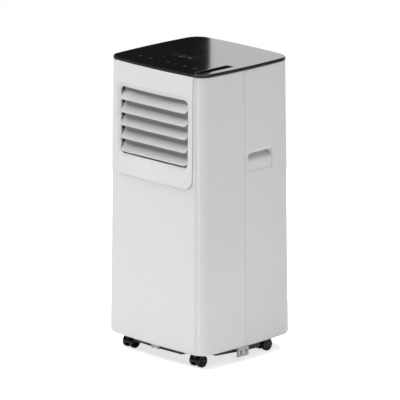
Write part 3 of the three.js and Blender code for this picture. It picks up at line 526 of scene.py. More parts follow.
def shapeFrontCorners(piece, creased=False):
    for vert in piece.data.vertices:
        x, y, z = vert.co / mm
        away = Vector((abs(x) - cornerX, -y - cornerY))
        if away.x < -0.01 or away.y < -0.01:
            continue
        angle = math.atan2(max(away.x, 0), max(away.y, 0))
        turned = angle / (math.pi / 2) * cornerTurn
        shiftX = cornerArc * math.sin(turned) - shell["frontRadius"] * math.sin(angle)
        shiftY = shell["frontRadius"] * (1 - math.cos(angle)) - cornerArc * (1 - math.cos(turned))
        share = (math.degrees(angle) - shell["creaseAt"]) / shell["creaseHalf"]
        dip = 0
        if creased and abs(share) < 1:
            fade = min(1, max(0, (z - foot - 2) / 6))       # the crease runs out at the foot
            dip = shell["creaseDepth"] * (1 + math.cos(math.pi * share)) / 2 * fade
        x = abs(x) + shiftX - dip * math.sin(angle)
        vert.co = Vector((math.copysign(x, vert.co.x), y - shiftY + dip * math.cos(angle), z)) * mm
    piece.data.update()


skin = addBlock("skin", (-halfX, -halfY, foot), (halfX, halfY, shell["top"]))
roundEdges(skin, shell["frontRadius"], 26, lambda a, b: upright(a, b, halfX, -halfY))
roundEdges(skin, shell["rearRadius"], 12, lambda a, b: upright(a, b, halfX, halfY))
roundEdges(skin, shell["footRadius"], 6, lambda a, b: near(a.z, foot) and near(b.z, foot))
removeFaces(skin, lambda co, no: abs(no.z) > 0.99)
nearInsert = [101, 105, 109, 112.5, 115.5, 118, 120, 121.8, 123.6]
cutAcross(skin, "X", spread(-97, 97, 24) + nearInsert + [-x for x in nearInsert])
cutAcross(skin, "Y", spread(-108, 108, 24) + [-108, 108])
cutAcross(skin, "Z", spread(foot + 8, 380, 50) + [387, 391, 394, 397, 400, 402.5, 405, 407, 408.6]
      + [411, 414, 417, 421, 426, 431, 450, 500, 550, 600, 640])
shapeFrontCorners(skin, True)
bowOut(skin)

insert = {"half": 122, "bottom": 409, "radius": 22, "gap": 0.6, "thick": 9, "proud": 3.8, "swell": 1.6,
          "swellReach": 22, "frontOf": -120}
for vert in skin.data.vertices:         # the casing swells a little up to the insert
    x, y, z = vert.co / mm
    if y > insert["frontOf"]:
        continue
    overX = abs(x) - insert["half"] + insert["radius"]
    overZ = insert["bottom"] + insert["radius"] - z
    if overX > 0 and overZ > 0:
        away = math.hypot(overX, overZ) - insert["radius"]
    else:
        away = max(overX, overZ) - insert["radius"]
    share = 1 - max(0, away) / insert["swellReach"]
    if share > 0:
        vert.co.y -= insert["swell"] * mm * share ** 2
skin.data.update()


def insertBlock(name, gap, low, high):
    half, bottom = insert["half"] - gap, insert["bottom"] + gap
    block = addBlock(name, (-half, low, bottom), (half, high, shell["top"] + (0 if gap else 9)))
    roundEdges(block, insert["radius"], 12,
               lambda a, b: near(a.x, b.x) and near(a.z, bottom) and near(b.z, bottom))
    return block


frontCasing = copyPiece(skin, "front_casing")
cutAcross(frontCasing, "Y", [shell["seamY"] - shell["seamGap"]], keep="below")
thicken(frontCasing, shell["wall"])
cutAway(frontCasing, insertBlock("insert_hole", 0, -200, -100))
softenEdges(frontCasing, shell["edge"], 2, 40)
finishPiece(frontCasing, "casing", whiteCasing, ["front_shell"])
print("front casing")

rearCasing = skin
rearCasing.name = "rear_casing"
rearCasing.data.name = "rear_casing"
cutAcross(rearCasing, "Y", [shell["seamY"] + shell["seamGap"]], keep="above")
handle = {"y0": -17, "y1": 61, "z0": 430, "z1": 473, "radius": 10, "depth": 29, "scoopFrom": 448,
          "scoop": 25, "lip": 3.4, "lipReach": 8}


def lipSink(y, z):          # the wall rolls in round the upper part of the hand hold
    overY = max(y - handle["y1"], handle["y0"] - y) + handle["radius"]
    overZ = z - handle["z1"] + handle["radius"]
    away = math.hypot(overY, overZ) if overY > 0 and overZ > 0 else max(overY, overZ)
    share = min(1, max(0, 1 - (away - handle["radius"]) / handle["lipReach"]))
    rise = min(1, max(0, (z - handle["z0"]) / (handle["z1"] - handle["z0"])))
    return handle["lip"] * (share * rise) ** 2


cutAcross(rearCasing, "Z", [436, 442, 448, 454, 459, 463, 467, 470, 472, 473.7, 475, 476.6, 478.5, 481])
cutAcross(rearCasing, "Y", [-25, -22, -20, -18, -15, 50, 55, 59, 62, 64, 66.5, 69])
for vert in rearCasing.data.vertices:
    x, y, z = vert.co / mm
    if abs(x) > 120 and y < 90:
        vert.co.x -= math.copysign(lipSink(y, z) * mm, x)
rearCasing.data.update()
thicken(rearCasing, shell["wall"])
for side in (-1, 1):
    hole = addBlock("handle_hole", (min(side * 110, side * 190), handle["y0"], handle["z0"]),
                    (max(side * 110, side * 190), handle["y1"], handle["z1"]))
    roundEdges(hole, handle["radius"], 8, lambda a, b: near(a.y, b.y) and near(a.z, handle["z1"])
               and near(b.z, handle["z1"]))
    cutAway(rearCasing, hole)
grille = {"half": 115, "radius": 8, "upper": (405, 635), "lower": (75, 225)}
for low, high in (grille["upper"], grille["lower"]):
    hole = addBlock("grille_hole", (-grille["half"], 90, low), (grille["half"], 190, high))
    roundEdges(hole, grille["radius"], 6, lambda a, b: near(a.x, b.x) and near(a.z, b.z))
    cutAway(rearCasing, hole)
collar = {"z": 300, "bore": 66, "wall": 2.5, "flange": 9, "ribs": 12, "ribHalf": 0.8}
fittings = {"lower_drain_cap": (0, 57, 7), "middle_drain_cap": (-101, 385, 6), "cord_gland": (104, 248, 7)}
cutAway(rearCasing, addRod("bore_hole", (0, 90, collar["z"]), (0, 190, collar["z"]),
                           collar["bore"] + collar["wall"] + 0.3, 64))
for x, z, radius in fittings.values():
    cutAway(rearCasing, addRod("round_hole", (x, 90, z), (x, 190, z), radius, 32))
softenEdges(rearCasing, shell["edge"], 2, 40)
finishPiece(rearCasing, "casing", whiteCasing, ["rear_shell"])
print("rear casing")

# outlet panel: flat first, dished round the louver, then laid on the bow
louver = {"half": 104.5, "bottom": 455.6, "top": 606, "radius": 9}
dish = {"side": 7.5, "above": 9.5, "below": 31, "depth": 5, "radius": 15, "edge": 1.1}
panel = insertBlock("outlet_front", insert["gap"], 0, insert["thick"])
mouthLow, mouthHigh = louver["bottom"] - dish["below"], louver["top"] + dish["above"]
mouthHalf = louver["half"] + dish["side"]
scoop = addBlock("scoop", (-mouthHalf, -2, mouthLow), (mouthHalf, 0, mouthHigh))
pickFaces(scoop, lambda co, no: no.y > 0.9)
bpy.ops.mesh.extrude_region_move(TRANSFORM_OT_translate={"value": (0, dish["depth"] * mm, 0)})
leaveEdit()
moveVerts(scoop, (0, 0, dish["below"]), lambda co: co.y > 1 and co.z < 500)
moveVerts(scoop, (0, 0, -dish["above"]), lambda co: co.y > 1 and co.z > 500)
moveVerts(scoop, (dish["side"], 0, 0), lambda co: co.y > 1 and co.x < 0)
moveVerts(scoop, (-dish["side"], 0, 0), lambda co: co.y > 1 and co.x > 0)
roundEdges(scoop, dish["radius"], 8, lambda a, b: abs(a.y - b.y) > 0.5)
cutAway(panel, scoop)
opening = addBlock("opening", (-louver["half"], -5, louver["bottom"]), (louver["half"], 30, louver["top"]))
roundEdges(opening, louver["radius"], 8, lambda a, b: near(a.x, b.x) and near(a.z, b.z))
cutAway(panel, opening)
cleanMesh(panel)
softenEdges(panel, dish["edge"], 3, 14)
cutAcross(panel, "X", spread(-120, 120, 20))
cutAcross(panel, "Z", spread(mouthLow, 655, 25))
hugEnd(panel, -1)
moveVerts(panel, (0, -insert["proud"], 0), lambda co: True)
finishPiece(panel, "casing", whiteCasing, ["outlet_panel"])
print("outlet front")

# louver slats, all swung by one bar
slat = {"half": 103.2, "tip": (-14, -15), "back": (6, 12), "cup": 2.2, "thick": 2.2, "corner": 9,
        "pivotY": -145.18, "pivotZ": 475.0, "pitch": 29.4, "count": 5, "pinRadius": 2.5, "pinEnd": 109,
        "drivenPin": 118, "crank": 15, "linkX": 98.7, "notchHalf": 2.1, "driven": 3}


def slatPoint(share):
    tip, back = Vector(slat["tip"]), Vector(slat["back"])
    chord = (back - tip).normalized()
    bulge = (tip + back) / 2 - Vector((-chord.y, chord.x)) * 2 * slat["cup"]
    return tip * (1 - share) ** 2 + bulge * 2 * share * (1 - share) + back * share ** 2


onlyThis(None)
bpy.ops.mesh.primitive_grid_add(x_subdivisions=36, y_subdivisions=20, size=1)
blade = namePiece("blade")
for vert in blade.data.vertices:
    share = (vert.co.y + 0.5) ** 1.4
    y, z = slatPoint(share)
    rise = share * 33.6
    corner = slat["corner"]
    trim = corner - math.sqrt(corner ** 2 - (corner - rise) ** 2) if rise < corner else 0
    vert.co = Vector((vert.co.x * 2 * (slat["half"] - trim), y, z)) * mm
thicken(blade, slat["thick"], 0)
cleanMesh(blade, recalc=True)
notch = addBlock("notch", (slat["linkX"] - slat["notchHalf"], 1.2, -20),
                 (slat["linkX"] + slat["notchHalf"], 30, 20))
cutAway(blade, notch)
softenEdges(blade, 0.5, 2, 50)
lugHigh = slat["linkX"] - slat["notchHalf"]
lug = addBlock("lug", (lugHigh - 2.5, -1, -3), (lugHigh, slat["crank"] + 3, 3))
roundEdges(lug, 2.8, 5, lambda a, b: near(a.y, slat["crank"] + 3) and near(b.y, slat["crank"] + 3)
           and near(a.z, b.z))
crankPin = addRod("crank_pin", (lugHigh - 1.5, slat["crank"], 0),
                  (slat["linkX"] + 2.5, slat["crank"], 0), 1.5, 20)
for number in range(1, slat["count"] + 1):
    leftEnd = slat["drivenPin"] if number == slat["driven"] else slat["pinEnd"]
    pins = [addRod("pin", (-leftEnd, 0, 0), (-slat["half"] + 3, 0, 0), slat["pinRadius"], 24),
            addRod("pin", (slat["half"] - 3, 0, 0), (slat["pinEnd"], 0, 0), slat["pinRadius"], 24)]
    for pin in pins:
        softenEdges(pin, 0.4, 2, 50)
    whole = joinPieces([copyPiece(blade, "blade_copy"), copyPiece(lug, "lug_copy"),
                        copyPiece(crankPin, "pin_copy"), *pins], f"slat_{number}")
    moveVerts(whole, (0, slat["pivotY"], slat["pivotZ"] + (number - 1) * slat["pitch"]), lambda co: True)
    finishPiece(whole, f"slat_{number}", shadedSlatWhite, [f"louver_slat_{number}"], 40)
for spare in (blade, lug, crankPin):
    bpy.data.objects.remove(spare, do_unlink=True)
print("slats")

# black top: rim, glass and the slot for the remote
lid = {"rimLow": 661.5, "rimHigh": 666.8, "rimRound": 1.3, "overhang": 1.05, "glassInset": 1.6,
       "glassLow": 664.3, "glassHigh": 668.3, "slotX": (111.75, 129.75), "slotY": (-138.1, -40.1),
       "slotFloor": 646.3, "slotWall": 1.5}


def lidPlate(name, grow, low, high):
    x, y = halfX + grow, halfY + grow
    plate = addBlock(name, (-x, -y, low), (x, y, high))
    roundEdges(plate, shell["frontRadius"] + grow, 14, lambda a, b: upright(a, b, x, -y))
    roundEdges(plate, shell["rearRadius"] + grow, 14, lambda a, b: upright(a, b, x, y))
    shapeFrontCorners(plate)
    return plate


def lidSlot(gap):
    (x0, x1), (y0, y1) = lid["slotX"], lid["slotY"]
    hole = addBlock("slot_hole", (x0 - gap, y0 - gap, 600), (x1 + gap, y1 + gap, 700))
    roundEdges(hole, 3 + gap, 6, lambda a, b: near(a.x, b.x) and near(a.y, b.y))
    return hole


rim = lidPlate("top_frame", lid["overhang"], lid["rimLow"], lid["rimHigh"])
roundEdges(rim, lid["rimRound"], 4, lambda a, b: near(a.z, lid["rimHigh"]) and near(b.z, lid["rimHigh"]))
roundEdges(rim, 0.6, 2, lambda a, b: near(a.z, lid["rimLow"]) and near(b.z, lid["rimLow"]))
sink(rim, lid["glassInset"] - lid["rimRound"] + lid["overhang"], (0, 0, -2.6),
     lambda co, no: no.z > 0.99 and abs(co.x) < 50)
cutAcross(rim, "X", spread(-120, 120, 16))
cutAcross(rim, "Y", spread(-110, 110, 16))
bowOut(rim, top)
cutAway(rim, lidSlot(lid["slotWall"] + 0.3))
finishPiece(rim, "casing", rimBlack, ["top_rim"])

glass = lidPlate("top_glass_pane", -lid["glassInset"], lid["glassLow"], lid["glassHigh"])
roundEdges(glass, 0.7, 3, lambda a, b: near(a.z, lid["glassHigh"]) and near(b.z, lid["glassHigh"]))
cutAcross(glass, "X", spread(-120, 120, 16))
cutAcross(glass, "Y", spread(-110, 110, 16))
bowOut(glass, top)
cutAway(glass, lidSlot(lid["slotWall"] + 0.3))
softenEdges(glass, 0.4, 2, 60)
finishPiece(glass, "casing", blackGlass, ["top_glass"])

(x0, x1), (y0, y1) = lid["slotX"], lid["slotY"]
wall = lid["slotWall"]
tray = addBlock("remote_tray", (x0 - wall, y0 - wall, lid["slotFloor"]),
                (x1 + wall, y1 + wall, lid["glassHigh"] - 0.1))
roundEdges(tray, 4.5, 6, lambda a, b: near(a.x, b.x) and near(a.y, b.y))
sink(tray, wall, (0, 0, -20), lambda co, no: no.z > 0.9)
softenEdges(tray, 0.5, 2, 50)
finishPiece(tray, "casing", slotBlack, ["slot_tray"])
print("top")

# hand holds
for side, node in ((1, "handle_cup_right"), (-1, "handle_cup_left")):
    gap = 0.3
    cup = addBlock("cup", (-handle["depth"], handle["y0"] + gap, handle["z0"] + gap),
                   (-0.2, handle["y1"] - gap, handle["z1"] - gap))
    roundEdges(cup, handle["radius"], 8, lambda a, b: near(a.y, b.y) and near(a.z, handle["z1"] - gap)
               and near(b.z, handle["z1"] - gap))
    sink(cup, 1.8, (-1.2, 0, 0), lambda co, no: no.x > 0.9)
    cutAcross(cup, "Z", spread(handle["z0"], handle["z1"], 1.8))
    cutAcross(cup, "Y", spread(handle["y0"], handle["y1"], 13))
    for vert in cup.data.vertices:          # nearly flush below, then scooping inwards and up
        x, y, z = vert.co / mm
        if near(x, -1.4, 0.3):
            share = max(0, (z - handle["scoopFrom"]) / (handle["z1"] - 2 - handle["scoopFrom"]))
            vert.co.x -= handle["scoop"] * mm * share ** 1.5
        elif x > -0.5:
            vert.co.x -= lipSink(y, z) * mm
    softenEdges(cup, 0.5, 2, 40)
    hugSide(cup)
    if side < 0:
        onlyThis(cup)
        bpy.ops.transform.mirror(constraint_axis=(True, False, False), center_override=(0, 0, 0))
        bpy.ops.object.transform_apply(location=True, rotation=True, scale=True)
        cleanMesh(cup, recalc=True)
    cup.name = node.replace("handle_cup", "hand_hold")
    finishPiece(cup, "casing", whiteCasing, [node])
print("hand holds")

# touch marks and figures on the glass
marks = {"z": 668.3, "height": 0.06, "stroke": 1.0, "size": 4.2, "dots": ((-75, -86), (-46, -78)),
         "power": (-89, -110), "timer": (-56, -110), "less": (-27, -110), "mode": (-1, -110),
         "more": (24, -110), "fan": (51, -110), "swing": (83, -110)}


def addBar(x, y, length, width, turn=0.0):
    bar = addBlock("bar", (-length / 2, -width / 2, 0), (length / 2, width / 2, marks["height"]))
    roundEdges(bar, width * 0.45, 3, lambda a, b: near(a.x, b.x) and near(a.y, b.y))
    onlyThis(bar)
    bar.rotation_euler.z = math.radians(turn)
    bar.location = (x * mm, y * mm, marks["z"] * mm)
    bpy.ops.object.transform_apply(location=True, rotation=True, scale=True)
    return bar


def addRing(x, y, radius, width, opening=0):
    low, high = marks["z"], marks["z"] + marks["height"]
    ring = spinShape("ring", [(radius, low), (radius, high), (radius - width, high), (radius - width, low),
                              (radius, low)], "Z", (0, 0, 0), 32)
    moveVerts(ring, (x, y, 0), lambda co: True)
    if opening:
        gapCut = addBlock("gap", (x - opening / 2, y, low - 1), (x + opening / 2, y + radius + 1, high + 1))
        cutAway(ring, gapCut)
    return ring


stroke, size = marks["stroke"], marks["size"]
parts = [addRing(*marks["power"], size, stroke, 3.2),
         addBar(marks["power"][0], marks["power"][1] + size * 0.7, size, stroke, 90),
         addRing(*marks["timer"], size, stroke),
         addBar(marks["timer"][0], marks["timer"][1] + 1.2, 2.6, stroke * 0.8, 90),
         addBar(marks["timer"][0] + 1.1, marks["timer"][1], 2.4, stroke * 0.8, 0),
         addBar(*marks["less"], size * 1.6, stroke),
         addBar(*marks["more"], size * 1.6, stroke),
         addBar(*marks["more"], size * 1.6, stroke, 90)]
for turn in (0, 60, 120):                                  # frost star for the mode key
    parts.append(addBar(*marks["mode"], size * 2, stroke * 0.8, turn))
for turn in (90, 210, 330):
    angle = math.radians(turn)
    parts.append(addBar(marks["fan"][0] + 2.4 * math.cos(angle), marks["fan"][1] + 2.4 * math.sin(angle),
                        4.0, 2.2, turn))
for lift in (-2.4, 0, 2.4):
    parts.append(addBar(marks["swing"][0], marks["swing"][1] + lift, size * 1.8, stroke * 0.8, 12))
for x, y in marks["dots"]:
    parts.append(addRing(x, y, 1.8, 0.7))
symbols = joinPieces(parts, "touch_marks")
finishPiece(symbols, "casing", touchInk, [], 32, False)

display = {"x": (-55, 23), "y": (-57, -31), "figureX": (-20, 2), "figureY": -48, "tall": 12, "wide": 7}
window = addBlock("display_window", (display["x"][0], display["y"][0], marks["z"]),
                  (display["x"][1], display["y"][1], marks["z"] + 0.04))
roundEdges(window, 3, 6, lambda a, b: near(a.x, b.x) and near(a.y, b.y))
finishPiece(window, "casing", windowTint, [], 32, False)
lit = {2: "abged", 4: "fgbc"}                              # two generic figures of seven bars
parts = []
for number, x in zip((2, 4), display["figureX"]):
    tall, wide, y = display["tall"] / 2, display["wide"], display["figureY"]
    bars = {"a": (0, tall, 0), "g": (0, 0, 0), "d": (0, -tall, 0), "f": (-wide / 2, tall / 2, 90),
            "b": (wide / 2, tall / 2, 90), "e": (-wide / 2, -tall / 2, 90), "c": (wide / 2, -tall / 2, 90)}
    for letter in lit[number]:
        alongX, alongY, turn = bars[letter]
        parts.append(addBar(x + alongX, y + alongY, (wide if turn == 0 else tall) - 1.2, 1.0, turn))
figures = joinPieces(parts, "display_figures")
moveVerts(figures, (0, 0, 0.05), lambda co: True)
finishPiece(figures, "casing", displayFigures, [], 32, False)
print("touch panel")


def boxOf(node):
    low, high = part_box(node)
    return Vector(low) / mm, Vector(high) / mm


# casters: dished wheels and hoods with eased edges
wheel = {"profile": [(2.3, 0.3), (10.4, 0.3), (10.9, 0), (13.0, 0), (13.7, 0.4), (14, 1.2), (14, 3.9),
                     (13.7, 4.1), (13.7, 4.5), (14, 4.7), (14, 7.3), (13.6, 8.1), (12.9, 8.5),
                     (11.4, 8.5), (10.8, 8.2), (10.5, 7.4), (9.8, 6.9), (6.4, 6.7), (5.9, 7.2),
                     (5.5, 8.0), (4.9, 8.4), (2.9, 8.4), (2.3, 8.1), (2.3, 0.3)],
         "pits": 5, "pitRing": 8.1, "pitRadius": 1.25, "pitFrom": 5.2, "pitTo": 9}
corners = ("front_left", "front_right", "rear_left", "rear_right")
for corner in corners:
    for label, outward in (("left", -1), ("right", 1)):
        node = f"wheel_{label}_{corner}"
        low, high = boxOf(node)
        innerFace = low.x if outward > 0 else high.x
        middle = (innerFace, (low.y + high.y) / 2, (low.z + high.z) / 2)
        profile = [(radius, along * outward) for radius, along in wheel["profile"]]
        disc = spinShape(f"tyre_{label}_{corner}", profile, "X", middle, 48)
        holes = []
        for step in range(wheel["pits"]):
            angle = math.radians(90 + step * 360 / wheel["pits"])
            y = middle[1] + wheel["pitRing"] * math.cos(angle)
            z = middle[2] + wheel["pitRing"] * math.sin(angle)
            holes.append(addRod("pit", (innerFace + outward * wheel["pitFrom"], y, z),
                                (innerFace + outward * wheel["pitTo"], y, z), wheel["pitRadius"], 16))
        cutAway(disc, joinPieces(holes, "pits"))
        finishPiece(disc, node, wheelBlack, [node], 34)
    low, high = boxOf(f"caster_hood_{corner}")
    hood = softCopy(f"caster_hood_{corner}", f"hood_{corner}", 0.35)
    finishPiece(hood, f"caster_{corner}", casterBlack, [f"caster_hood_{corner}"], 34)
print("casters")

# tabs and pan under the casing
clip = {"edge": 0.8}
drip = {"edge": 0.7, "noseDrop": 3.8, "noseBack": -97, "noseHalf": 80, "noseTop": 31}
for node, name, finish in (("seam_tab_left", "side_clip_left", clipGrey),
                           ("seam_tab_right", "side_clip_right", clipGrey),
                           ("front_tab", "front_clip", greyPlastic)):
    finishPiece(softCopy(node, name, clip["edge"]), "casing", finish, [node])
pan = softCopy("base_pan", "drip_pan", drip["edge"])
moveVerts(pan, (0, 0, -drip["noseDrop"]), lambda co: co.y < drip["noseBack"]
          and abs(co.x) < drip["noseHalf"] and co.z < drip["noseTop"])
finishPiece(pan, "casing", blackPlastic, ["base_pan"])

# back: intake grilles, their dust filters, hose collar, caps, cord gland
threads = {"pitch": 4.0, "thick": 0.55}
for label in ("upper", "lower"):
    finishPiece(softCopy(f"{label}_grille", f"{label}_louvres", 0.8), f"{label}_intake",
                whiteCasing, [f"{label}_grille"])
    low, high = boxOf(f"{label}_filter")
    filterFrame = softCopy(f"{label}_filter", "filter_frame", 0.4)
    wide, tall = high.x - low.x - 4, high.z - low.z - 4
    onlyThis(None)
    bpy.ops.mesh.primitive_grid_add(x_subdivisions=round(wide / threads["pitch"]),
                                    y_subdivisions=round(tall / threads["pitch"]), size=1)
    gauze = namePiece("gauze")
    gauze.scale = (wide * mm, tall * mm, 1)
    gauze.rotation_euler.x = math.pi / 2
    gauze.location = ((low + high) / 2) * mm
    onlyThis(gauze)
    bpy.ops.object.transform_apply(location=True, rotation=True, scale=True)
    modifier = gauze.modifiers.new("threads", "WIREFRAME")
    modifier.thickness = threads["thick"] * mm
    modifier.use_even_offset = False
    modifier.use_boundary = True
    applyModifier(gauze, modifier)
    finishPiece(joinPieces([filterFrame, gauze], f"{label}_dust_filter"), f"{label}_intake",
                meshThread, [f"{label}_filter"], 34, False)
print("intakes")


def clearOfBack(x, z, reach):
    return endY(max(0, abs(x) - reach), z - reach, 1) + 0.3


low, high = boxOf("duct_collar")
bore, tube, flange = collar["bore"], collar["bore"] + collar["wall"], collar["bore"] + collar["flange"]
seat = clearOfBack(0, collar["z"], flange)
collarProfile = [(bore, low.y), (tube - 0.3, low.y), (tube, low.y + 0.4), (tube, seat - 0.6),
                 (tube + 0.6, seat), (flange - 0.7, seat), (flange, seat + 0.7), (flange, seat + 1.8),
                 (flange - 0.7, seat + 2.5), (tube + 1.6, seat + 2.5), (tube + 0.5, seat + 3.2),
                 (tube, seat + 4.4), (tube, high.y - 9),
                 (tube + 0.5, high.y - 8.6), (tube + 0.5, high.y - 7.6), (tube, high.y - 7.2),
                 (tube, high.y - 4.4), (tube + 1, high.y - 3.6), (tube + 1.5, high.y - 2.8),
                 (tube + 1.5, high.y - 0.6), (tube + 1, high.y), (bore + 0.6, high.y), (bore, high.y - 0.6),
                 (bore, low.y)]
ring = spinShape("hose_collar", collarProfile, "Y", (0, 0, collar["z"]), 96)
gussets = [ring]
for step in range(collar["ribs"]):
    angle = 2 * math.pi * (step + 0.5) / collar["ribs"]
    gusset = addBlock("gusset", (tube - 0.5, seat + 2, -collar["ribHalf"]),
                      (flange - 1.5, seat + 8, collar["ribHalf"]))
    moveVerts(gusset, (-(flange - tube) + 2.2, 0, 0), lambda co: co.x > tube + 1 and co.y > seat + 5)
    softenEdges(gusset, 0.3, 2, 40)
    onlyThis(gusset)
    gusset.rotation_euler.y = angle
    gusset.location.z = collar["z"] * mm
    bpy.ops.object.transform_apply(location=True, rotation=True, scale=True)
    gussets.append(gusset)
finishPiece(joinPieces(gussets, "hose_collar"), "casing", whiteCasing, ["duct_collar"])

for node in ("lower_drain_cap", "middle_drain_cap"):
    x, z, radius = fittings[node]
    seat = clearOfBack(x, z, radius + 3)
    head = radius + 3
    profile = [(0, seat + 3.5), (head - 4, seat + 3.5), (head - 3.4, seat + 2.9), (head - 2.6, seat + 2.9),
               (head - 2, seat + 3.5), (head - 0.8, seat + 3.5), (head, seat + 2.7), (head, seat + 0.5),
               (head - 0.4, seat), (radius - 0.3, seat - 0.4), (radius - 0.3, seat - 3),
               (radius, seat - 3.6), (radius - 0.3, seat - 4.2), (radius - 0.3, seat - 8.3),
               (radius - 1, seat - 9), (0, seat - 9)]
    plug = spinShape("plug", profile, "Y", (x, 0, z), 48)
    pull = addBlock("pull", (x - 2, seat + 1.5, z - radius - 8), (x + 2, seat + 3.5, z - radius))
    roundEdges(pull, 1.8, 5, lambda a, b: near(a.x, b.x) and near(a.z, b.z) and a.z < z - radius - 5)
    softenEdges(pull, 0.4, 2, 40)
    finishPiece(joinPieces([plug, pull], node.replace("drain_cap", "drain_plug")),
                node.replace("_cap", ""), capRubber, [node], 34)

x, z, radius = fittings["cord_gland"]
seat = clearOfBack(x, z, radius + 3)
profile = [(3.2, seat - 5), (radius - 0.6, seat - 5), (radius - 0.3, seat - 4.6), (radius - 0.3, seat + 2.2),
           (radius + 2.5, seat + 2.2), (radius + 3, seat + 2.7), (radius + 3, seat + 4.7),
           (radius + 2.4, seat + 5.2), (radius, seat + 5.4), (radius - 0.6, seat + 6),
           (radius - 1.2, seat + 8.4), (radius - 1.8, seat + 9), (3.7, seat + 9), (3.2, seat + 8.5),
           (3.2, seat - 5)]
finishPiece(spinShape("cord_entry", profile, "Y", (x, 0, z), 40), "casing", blackPlastic,
            ["cord_gland"], 34)

# screws, one modelled and copied
screw = {"profile": [(0, 2.1), (1.6, 2.05), (2.7, 1.6), (3.4, 0.9), (3.7, 0.2), (3.7, 0), (2.2, -0.2),
                     (2.2, -1.8), (0, -1.8)],
         "crossLong": 4.4, "crossWide": 0.9, "crossFloor": 0.9, "backX": 123, "backZ": (56, 315, 641)}
master = spinShape("screw", screw["profile"], "Z", (0, 0, 0), 28)
for turn in (0, 90):
    arm = addBlock("arm", (-screw["crossLong"] / 2, -screw["crossWide"] / 2, screw["crossFloor"]),
                   (screw["crossLong"] / 2, screw["crossWide"] / 2, 4))
    onlyThis(arm)
    arm.rotation_euler.z = math.radians(turn)
    bpy.ops.object.transform_apply(location=True, rotation=True, scale=True)
    cutAway(master, arm)
backScrews = []
for x in (-screw["backX"], screw["backX"]):
    for z in screw["backZ"]:
        one = copyPiece(master, "screw_copy")
        onlyThis(one)
        one.rotation_euler.x = -math.pi / 2
        one.location = Vector((x, endY(x, z, 1) - 0.1, z)) * mm
        bpy.ops.object.transform_apply(location=True, rotation=True, scale=True)
        backScrews.append(one)
finishPiece(joinPieces(backScrews, "back_screws"), "casing", screwSteel, [], 34)
panLow, panHigh = boxOf("base_pan")
belly = {"frontZ": 29, "rearZ": 14, "x": 62, "y": (-92, 88)}
panScrews = []
for x in (-belly["x"], belly["x"]):
    for y in belly["y"]:
        share = (y - panLow.y) / (panHigh.y - panLow.y)
        one = copyPiece(master, "screw_copy")
        onlyThis(one)
        one.rotation_euler.x = math.pi
        level = belly["frontZ"] + (belly["rearZ"] - belly["frontZ"]) * share + 0.2
        one.location = Vector((x, y, level)) * mm
        bpy.ops.object.transform_apply(location=True, rotation=True, scale=True)
        panScrews.append(one)
finishPiece(joinPieces(panScrews, "pan_screws"), "casing", screwSteel, [], 34)
bpy.data.objects.remove(master, do_unlink=True)
print("screws")

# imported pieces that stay, with their finishes
keptFinish = {"louver_link": greyPlastic, "swing_motor": motorSteel, "outlet_duct": ductFoamShaded,
              "control_board": circuitBoard, "partition_deck": deckPlastic, "upper_scroll": deckPlastic,
              "lower_scroll": deckPlastic, "upper_blower": fanPlastic, "lower_blower": fanPlastic,
              "upper_fan_motor": motorSteel, "lower_fan_motor": motorSteel, "exhaust_duct": deckPlastic,
              "condenser": finAluminiumGapShade, "evaporator": finAluminiumGapShade, "compressor": blackSteel,
              "accumulator": blackSteel, "discharge_pipe": copper, "suction_pipe": copper,
              "electrics_box": galvanised}
for corner in corners:
    keptFinish[f"caster_axle_{corner}"] = blackSteel
for node, finish in keptFinish.items():
    solid = bpy.data.objects[node]
    for place in solid.material_slots:
        place.material = finish
print("inside pieces")

# floor, world and lights
onlyThis(None)
bpy.ops.mesh.primitive_circle_add(vertices=96, radius=1.6, fill_type="NGON", location=(0, 0, 0))
ground = namePiece("studio_ground")
ground.data.materials.append(studioFloor)

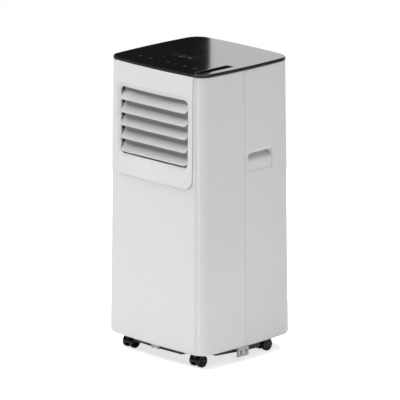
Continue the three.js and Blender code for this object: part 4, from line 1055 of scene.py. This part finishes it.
world = bpy.data.worlds.new("studio") if not bpy.context.scene.world else bpy.context.scene.world
bpy.context.scene.world = world
world.use_nodes = True
sky = world.node_tree
sky.nodes.clear()
skyOut = sky.nodes.new("ShaderNodeOutputWorld")
skyShade = sky.nodes.new("ShaderNodeBackground")
skyPlace = sky.nodes.new("ShaderNodeTexCoord")
skySplit = sky.nodes.new("ShaderNodeSeparateXYZ")
skyRamp = sky.nodes.new("ShaderNodeValToRGB")
skyRamp.color_ramp.elements[0].position = 0.10
skyRamp.color_ramp.elements[0].color = (1, 1, 1, 1)
skyRamp.color_ramp.elements[1].position = 0.16
skyRamp.color_ramp.elements[1].color = (0.022, 0.022, 0.022, 1)
sky.links.new(skyPlace.outputs["Generated"], skySplit.inputs["Vector"])
sky.links.new(skySplit.outputs["Z"], skyRamp.inputs["Fac"])
sky.links.new(skyRamp.outputs["Color"], skyShade.inputs["Color"])
skySeen = sky.nodes.new("ShaderNodeLightPath")          # full white only where it is looked at
skyDim = sky.nodes.new("ShaderNodeMapRange")
skyDim.inputs["To Min"].default_value = 0.55
skyDim.inputs["To Max"].default_value = 1.0
sky.links.new(skySeen.outputs["Is Camera Ray"], skyDim.inputs["Value"])
sky.links.new(skyDim.outputs["Result"], skyShade.inputs["Strength"])
sky.links.new(skyShade.outputs["Background"], skyOut.inputs["Surface"])


def addPanelLight(name, place, target, size, power):
    data = bpy.data.lights.new(name, "AREA")
    data.shape = "RECTANGLE"
    data.size, data.size_y = size
    data.energy = power
    light = bpy.data.objects.new(name, data)
    bpy.context.scene.collection.objects.link(light)
    light.location = place
    light.rotation_mode = "QUATERNION"
    light.rotation_quaternion = (Vector(target) - Vector(place)).to_track_quat("-Z", "Y")


lights = {"front": ((-0.9, -2.1, 3.3), (0, 0, 0.4), (1.6, 1.2), 73),
          "side": ((2.6, -0.3, 2.8), (0, 0, 0.4), (1.6, 1.6), 18),
          "above": ((0, 0, 3.4), (0, 0, 0), (3.0, 3.0), 146)}
for name, (place, target, size, power) in lights.items():
    addPanelLight(name, place, target, size, power)

card = {"behind": 3.0, "fromMiddle": 0.02, "size": (1.6, 1.4), "z": 1.5, "power": 11}
forward = Vector((-math.sin(azimuth), math.cos(azimuth), 0))
rightward = Vector((math.cos(azimuth), math.sin(azimuth), 0))
cardPlace = forward * card["behind"] + rightward * (card["fromMiddle"] + card["size"][0] / 2)
cardPlace.z = card["z"]
cardAim = cardPlace - forward
addPanelLight("low_card", cardPlace, cardAim, card["size"], card["power"])
print("lights")
